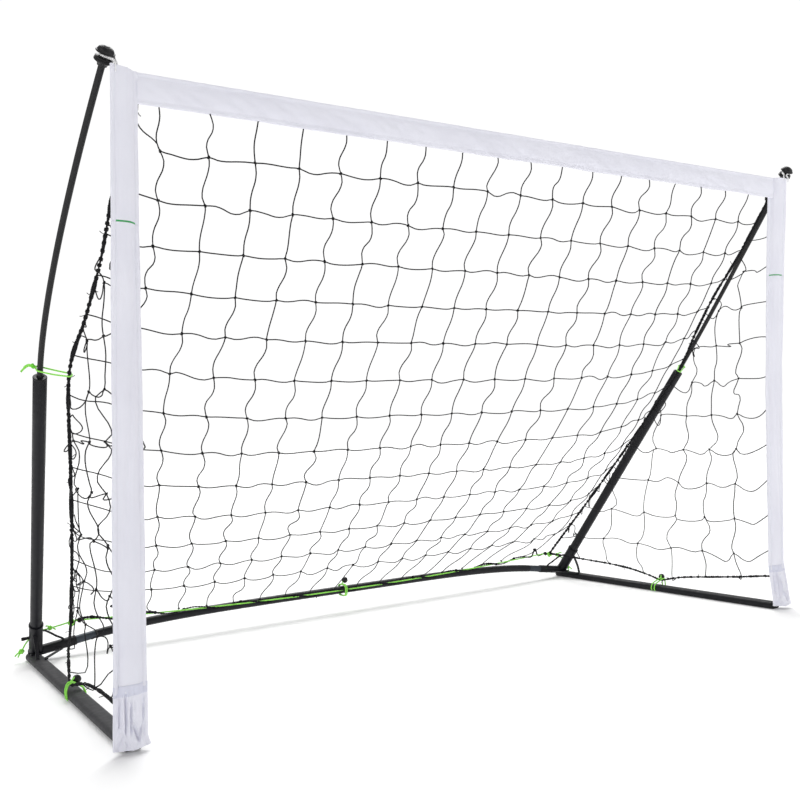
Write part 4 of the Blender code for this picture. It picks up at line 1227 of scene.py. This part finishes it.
def side_tie(name, side):
    """Two turns of green elastic over the side rope and down the tube's flanks, and their ball."""
    flank = TUBE_WIDTH / 2 + 0.0022
    shift = SIDE_TIE.x - HALF_WIDTH
    crown = SIDE_TIE.z + SIDE_ROPE + ELASTIC + 0.0002
    lap = [(-flank + 0.0014, 0.0022), (-flank, 0.005), (-flank - 0.0008, 0.011), (-0.016, 0.0226)]
    lap += [(shift - 0.0085, crown - 0.0032), (shift, crown), (shift + 0.0064, crown - 0.003)]
    lap += [(0.0207, 0.0222), (flank + 0.0004, 0.01), (flank, 0.005), (flank - 0.0014, 0.0022)]
    mesh = Mesh()
    for lean, rise in ((-0.006, 0.0), (0.006, 0.0006)):
        route = []
        for a, z in lap:
            y = SIDE_TIE.y + lean - 0.007 + 0.0135 * min(abs(a - shift) / 0.028, 1.0)
            route.append((HALF_WIDTH + a, y, z + rise))
        cord(mesh, route, side, ELASTIC * 0.95, 5)
    ball = put(SIDE_TIE, side) + BALL_OFFSET
    top = put((SIDE_TIE.x, SIDE_TIE.y, crown), side)
    strand = [top, top.lerp(ball, 0.5) + Vector((0, 0, 0.005)), ball + Vector((0, 0, 0.006))]
    mesh.tube(smooth_route(strand, 6), ELASTIC * 0.9, 10)
    mesh.made(name + "_side_tie_cord", GREEN, name + "_side_tie")
    toggle(name + "_side_toggle", ball, name + "_side_tie_ball")


def toggle(name, centre, node):
    """A moulded ball with a parting line and a hole for its cord."""
    profile = mm((0, -6.6), (1.9, -7.0), (2.4, -8.3))
    for k in range(-7, 8):
        turn = math.radians(10.6 * k)
        radius = 0.0094 - (0.00025 if k == 0 else 0)
        profile.append((radius * math.cos(turn), radius * math.sin(turn)))
    mesh = Mesh()
    mesh.lathe([*profile, *mm((2.4, 8.3), (1.9, 7.0), (0, 6.6))], centre, Vector((0.2, -0.6, 0.8)), 36)
    mesh.made(name, PLASTIC, node)


def rear_tie():
    """A loop of green elastic round rear bar and rope, and its ball."""
    centre = bar_point(0) + Vector((0, -0.0085, 0.0005))
    mesh = Mesh()
    for shift, grow in ((-0.0024, 0.0), (0.0022, 0.0004)):
        route = []
        for k in range(40):
            turn = 2 * PI * k / 40
            across = (math.cos(turn), math.sin(turn))
            flat, high = (math.copysign(abs(part) ** 0.6, part) for part in across)
            offset = (shift + 0.001 * math.sin(turn), -flat * (0.0235 + grow), high * (0.0165 + grow))
            route.append(centre + Vector(offset))
        mesh.tube(route, ELASTIC, 10, closed=True)
    ball = bar_point(0.012) + Vector((0, -0.002, 0.0285))
    root = centre + Vector((0.001, 0.004, 0.017))
    strand = [root, root.lerp(ball, 0.5) + Vector((0, 0, 0.003)), ball]
    mesh.tube(smooth_route(strand, 5), ELASTIC * 0.9, 10)
    mesh.made("rear_tie_cord", GREEN, "rear_tie")
    toggle("rear_toggle", ball, "rear_tie_ball")


def corner_loop(name, side):
    """Webbing that rises from the frame's top corner and passes round the neck of the cap."""
    rod = bow_route(side)
    along = (rod[-1] - rod[-2]).normalized()
    centre = rod[-1] + along * 0.0208
    inward = Vector((-side, -0.1, -0.7))
    inward = (inward - along * inward.dot(along)).normalized()
    sideways = along.cross(inward)
    corner = put(post_middle(TOP_Z + 0.001), side) + Vector((side * 0.014, -0.0055, 0))
    ends = []
    for edge in (1, -1):
        out = centre + inward * 0.015 + sideways * edge * 0.0066
        foot = corner + sideways * edge * 0.006 - Vector((0, 0, 0.01))
        middle = out.lerp(corner, 0.45) + Vector((0, 0, 0.0015))
        ends.append([foot, corner + sideways * edge * 0.0064, middle, out])
    neck = wrap(centre, inward, sideways, 0.0086, math.radians(55), math.radians(305), 24)
    path = smooth_route([*ends[0], *neck, *ends[1][::-1]], 3)
    rings, outline = [], rounded_box(0.0014, 0.0046, 0.0006, 2)
    for k, point in enumerate(path):
        ahead = (path[min(k + 1, len(path) - 1)] - path[max(k - 1, 0)]).normalized()
        up = (along - ahead * along.dot(ahead)).normalized()
        rings.append([point + ahead.cross(up) * a + up * b for a, b in outline])
    mesh = Mesh()
    mesh.skin(rings, caps=True)
    mesh.made(name + "_corner_webbing", WEBBING, name + "_corner_loop", crease=50)


# Floor, light and camera


def stage():
    """A pale floor, a white backdrop, even light from all round, three broad suns and a lamp."""
    size, white = 30.0, (1.0, 1.0, 1.0, 1.0)
    corners = [(-size, -size, 0), (size, -size, 0), (size, size, 0), (-size, size, 0)]
    mesh = bpy.data.meshes.new("floor")
    mesh.from_pydata(corners, [], [(0, 1, 2, 3)])
    floor = placed("floor", mesh)
    pale = (0.945, 0.945, 0.945, 1.0)
    look = Look("pale floor", Base_Color=pale, Roughness=0.9, Specular_IOR_Level=0.15)
    look.shader.inputs["Emission Color"].default_value = white
    look.shader.inputs["Emission Strength"].default_value = 0.1
    mesh.materials.append(look.material)
    floor.location.z = -0.0004
    world = bpy.data.worlds.new("studio")
    world.use_nodes = True
    tree = world.node_tree
    light = tree.nodes["Background"]
    light.inputs["Color"].default_value = white
    light.inputs["Strength"].default_value = 0.45
    seen = add_node(tree, "Background", Color=white, Strength=1.03)
    from_camera = add_node(tree, "LightPath").outputs["Is Camera Ray"]
    mix = add_node(tree, "MixShader", from_camera, light.outputs["Background"], seen.outputs["Background"])
    tree.links.new(mix.outputs["Shader"], tree.nodes["World Output"].inputs["Surface"])
    bpy.context.scene.world = world
    bpy.context.scene.view_settings.view_transform = "Standard"
    lamp = bpy.data.lights.new("right_lamp", "AREA")
    lamp.size = 1.2
    lamp.energy = 3.0
    lamp.use_shadow = False
    obj = placed("right_lamp", lamp)
    obj.location = (1.9, -1.9, 1.3)
    obj.rotation_euler = (obj.location - Vector((0.9, -0.4, 0.7))).to_track_quat("Z", "Y").to_euler()
    for name, toward, strength, spread in (
        ("key", (0.35, 0.55, 1.0), 2.15, 44),
        ("right_fill", (0.9, -0.9, 0.7), 0.34, 50),
        ("left_fill", (-0.9, -0.5, 0.6), 0.56, 40),
    ):
        sun = bpy.data.lights.new(name, "SUN")
        sun.energy = strength
        sun.angle = math.radians(spread)
        placed(name, sun).rotation_euler = Vector(toward).to_track_quat("Z", "Y").to_euler()


def camera():
    yaw, pitch, roll = 0.5616, 0.035, -0.0472
    ahead = Vector((math.sin(yaw) * math.cos(pitch), math.cos(yaw) * math.cos(pitch), math.sin(pitch)))
    right = Vector((math.cos(yaw), -math.sin(yaw), 0))
    up = right.cross(ahead)
    across = right * math.cos(roll) + up * math.sin(roll)
    above = up * math.cos(roll) - right * math.sin(roll)
    made = bpy.data.cameras.new("camera")
    made.lens = 42.007
    made.sensor_width = 36.0
    made.clip_start = 0.05
    obj = placed("camera", made)
    matrix = Matrix((across, above, -ahead)).transposed().to_4x4()
    matrix.translation = Vector((-1.366, -1.6922 + MOUTH_Y, 0.5404))
    obj.matrix_world = matrix
    bpy.context.scene.camera = obj


def on_both_sides(*pieces):
    for name, side in SIDES:
        for make in pieces:
            make(name, side)


def main():
    stage()
    camera()
    frame_pieces = (side_tube, upright, bow_pole, post_cloth, foot_pocket, corner_loop)
    on_both_sides(*frame_pieces, side_net, pole_tie, corner_ties, side_tie)
    rear_bar()
    on_both_sides(welds)
    finish_cad_nodes()
    crossbar()
    back_net()
    on_both_sides(net_ropes)
    rear_cords()
    rear_tie()


main()
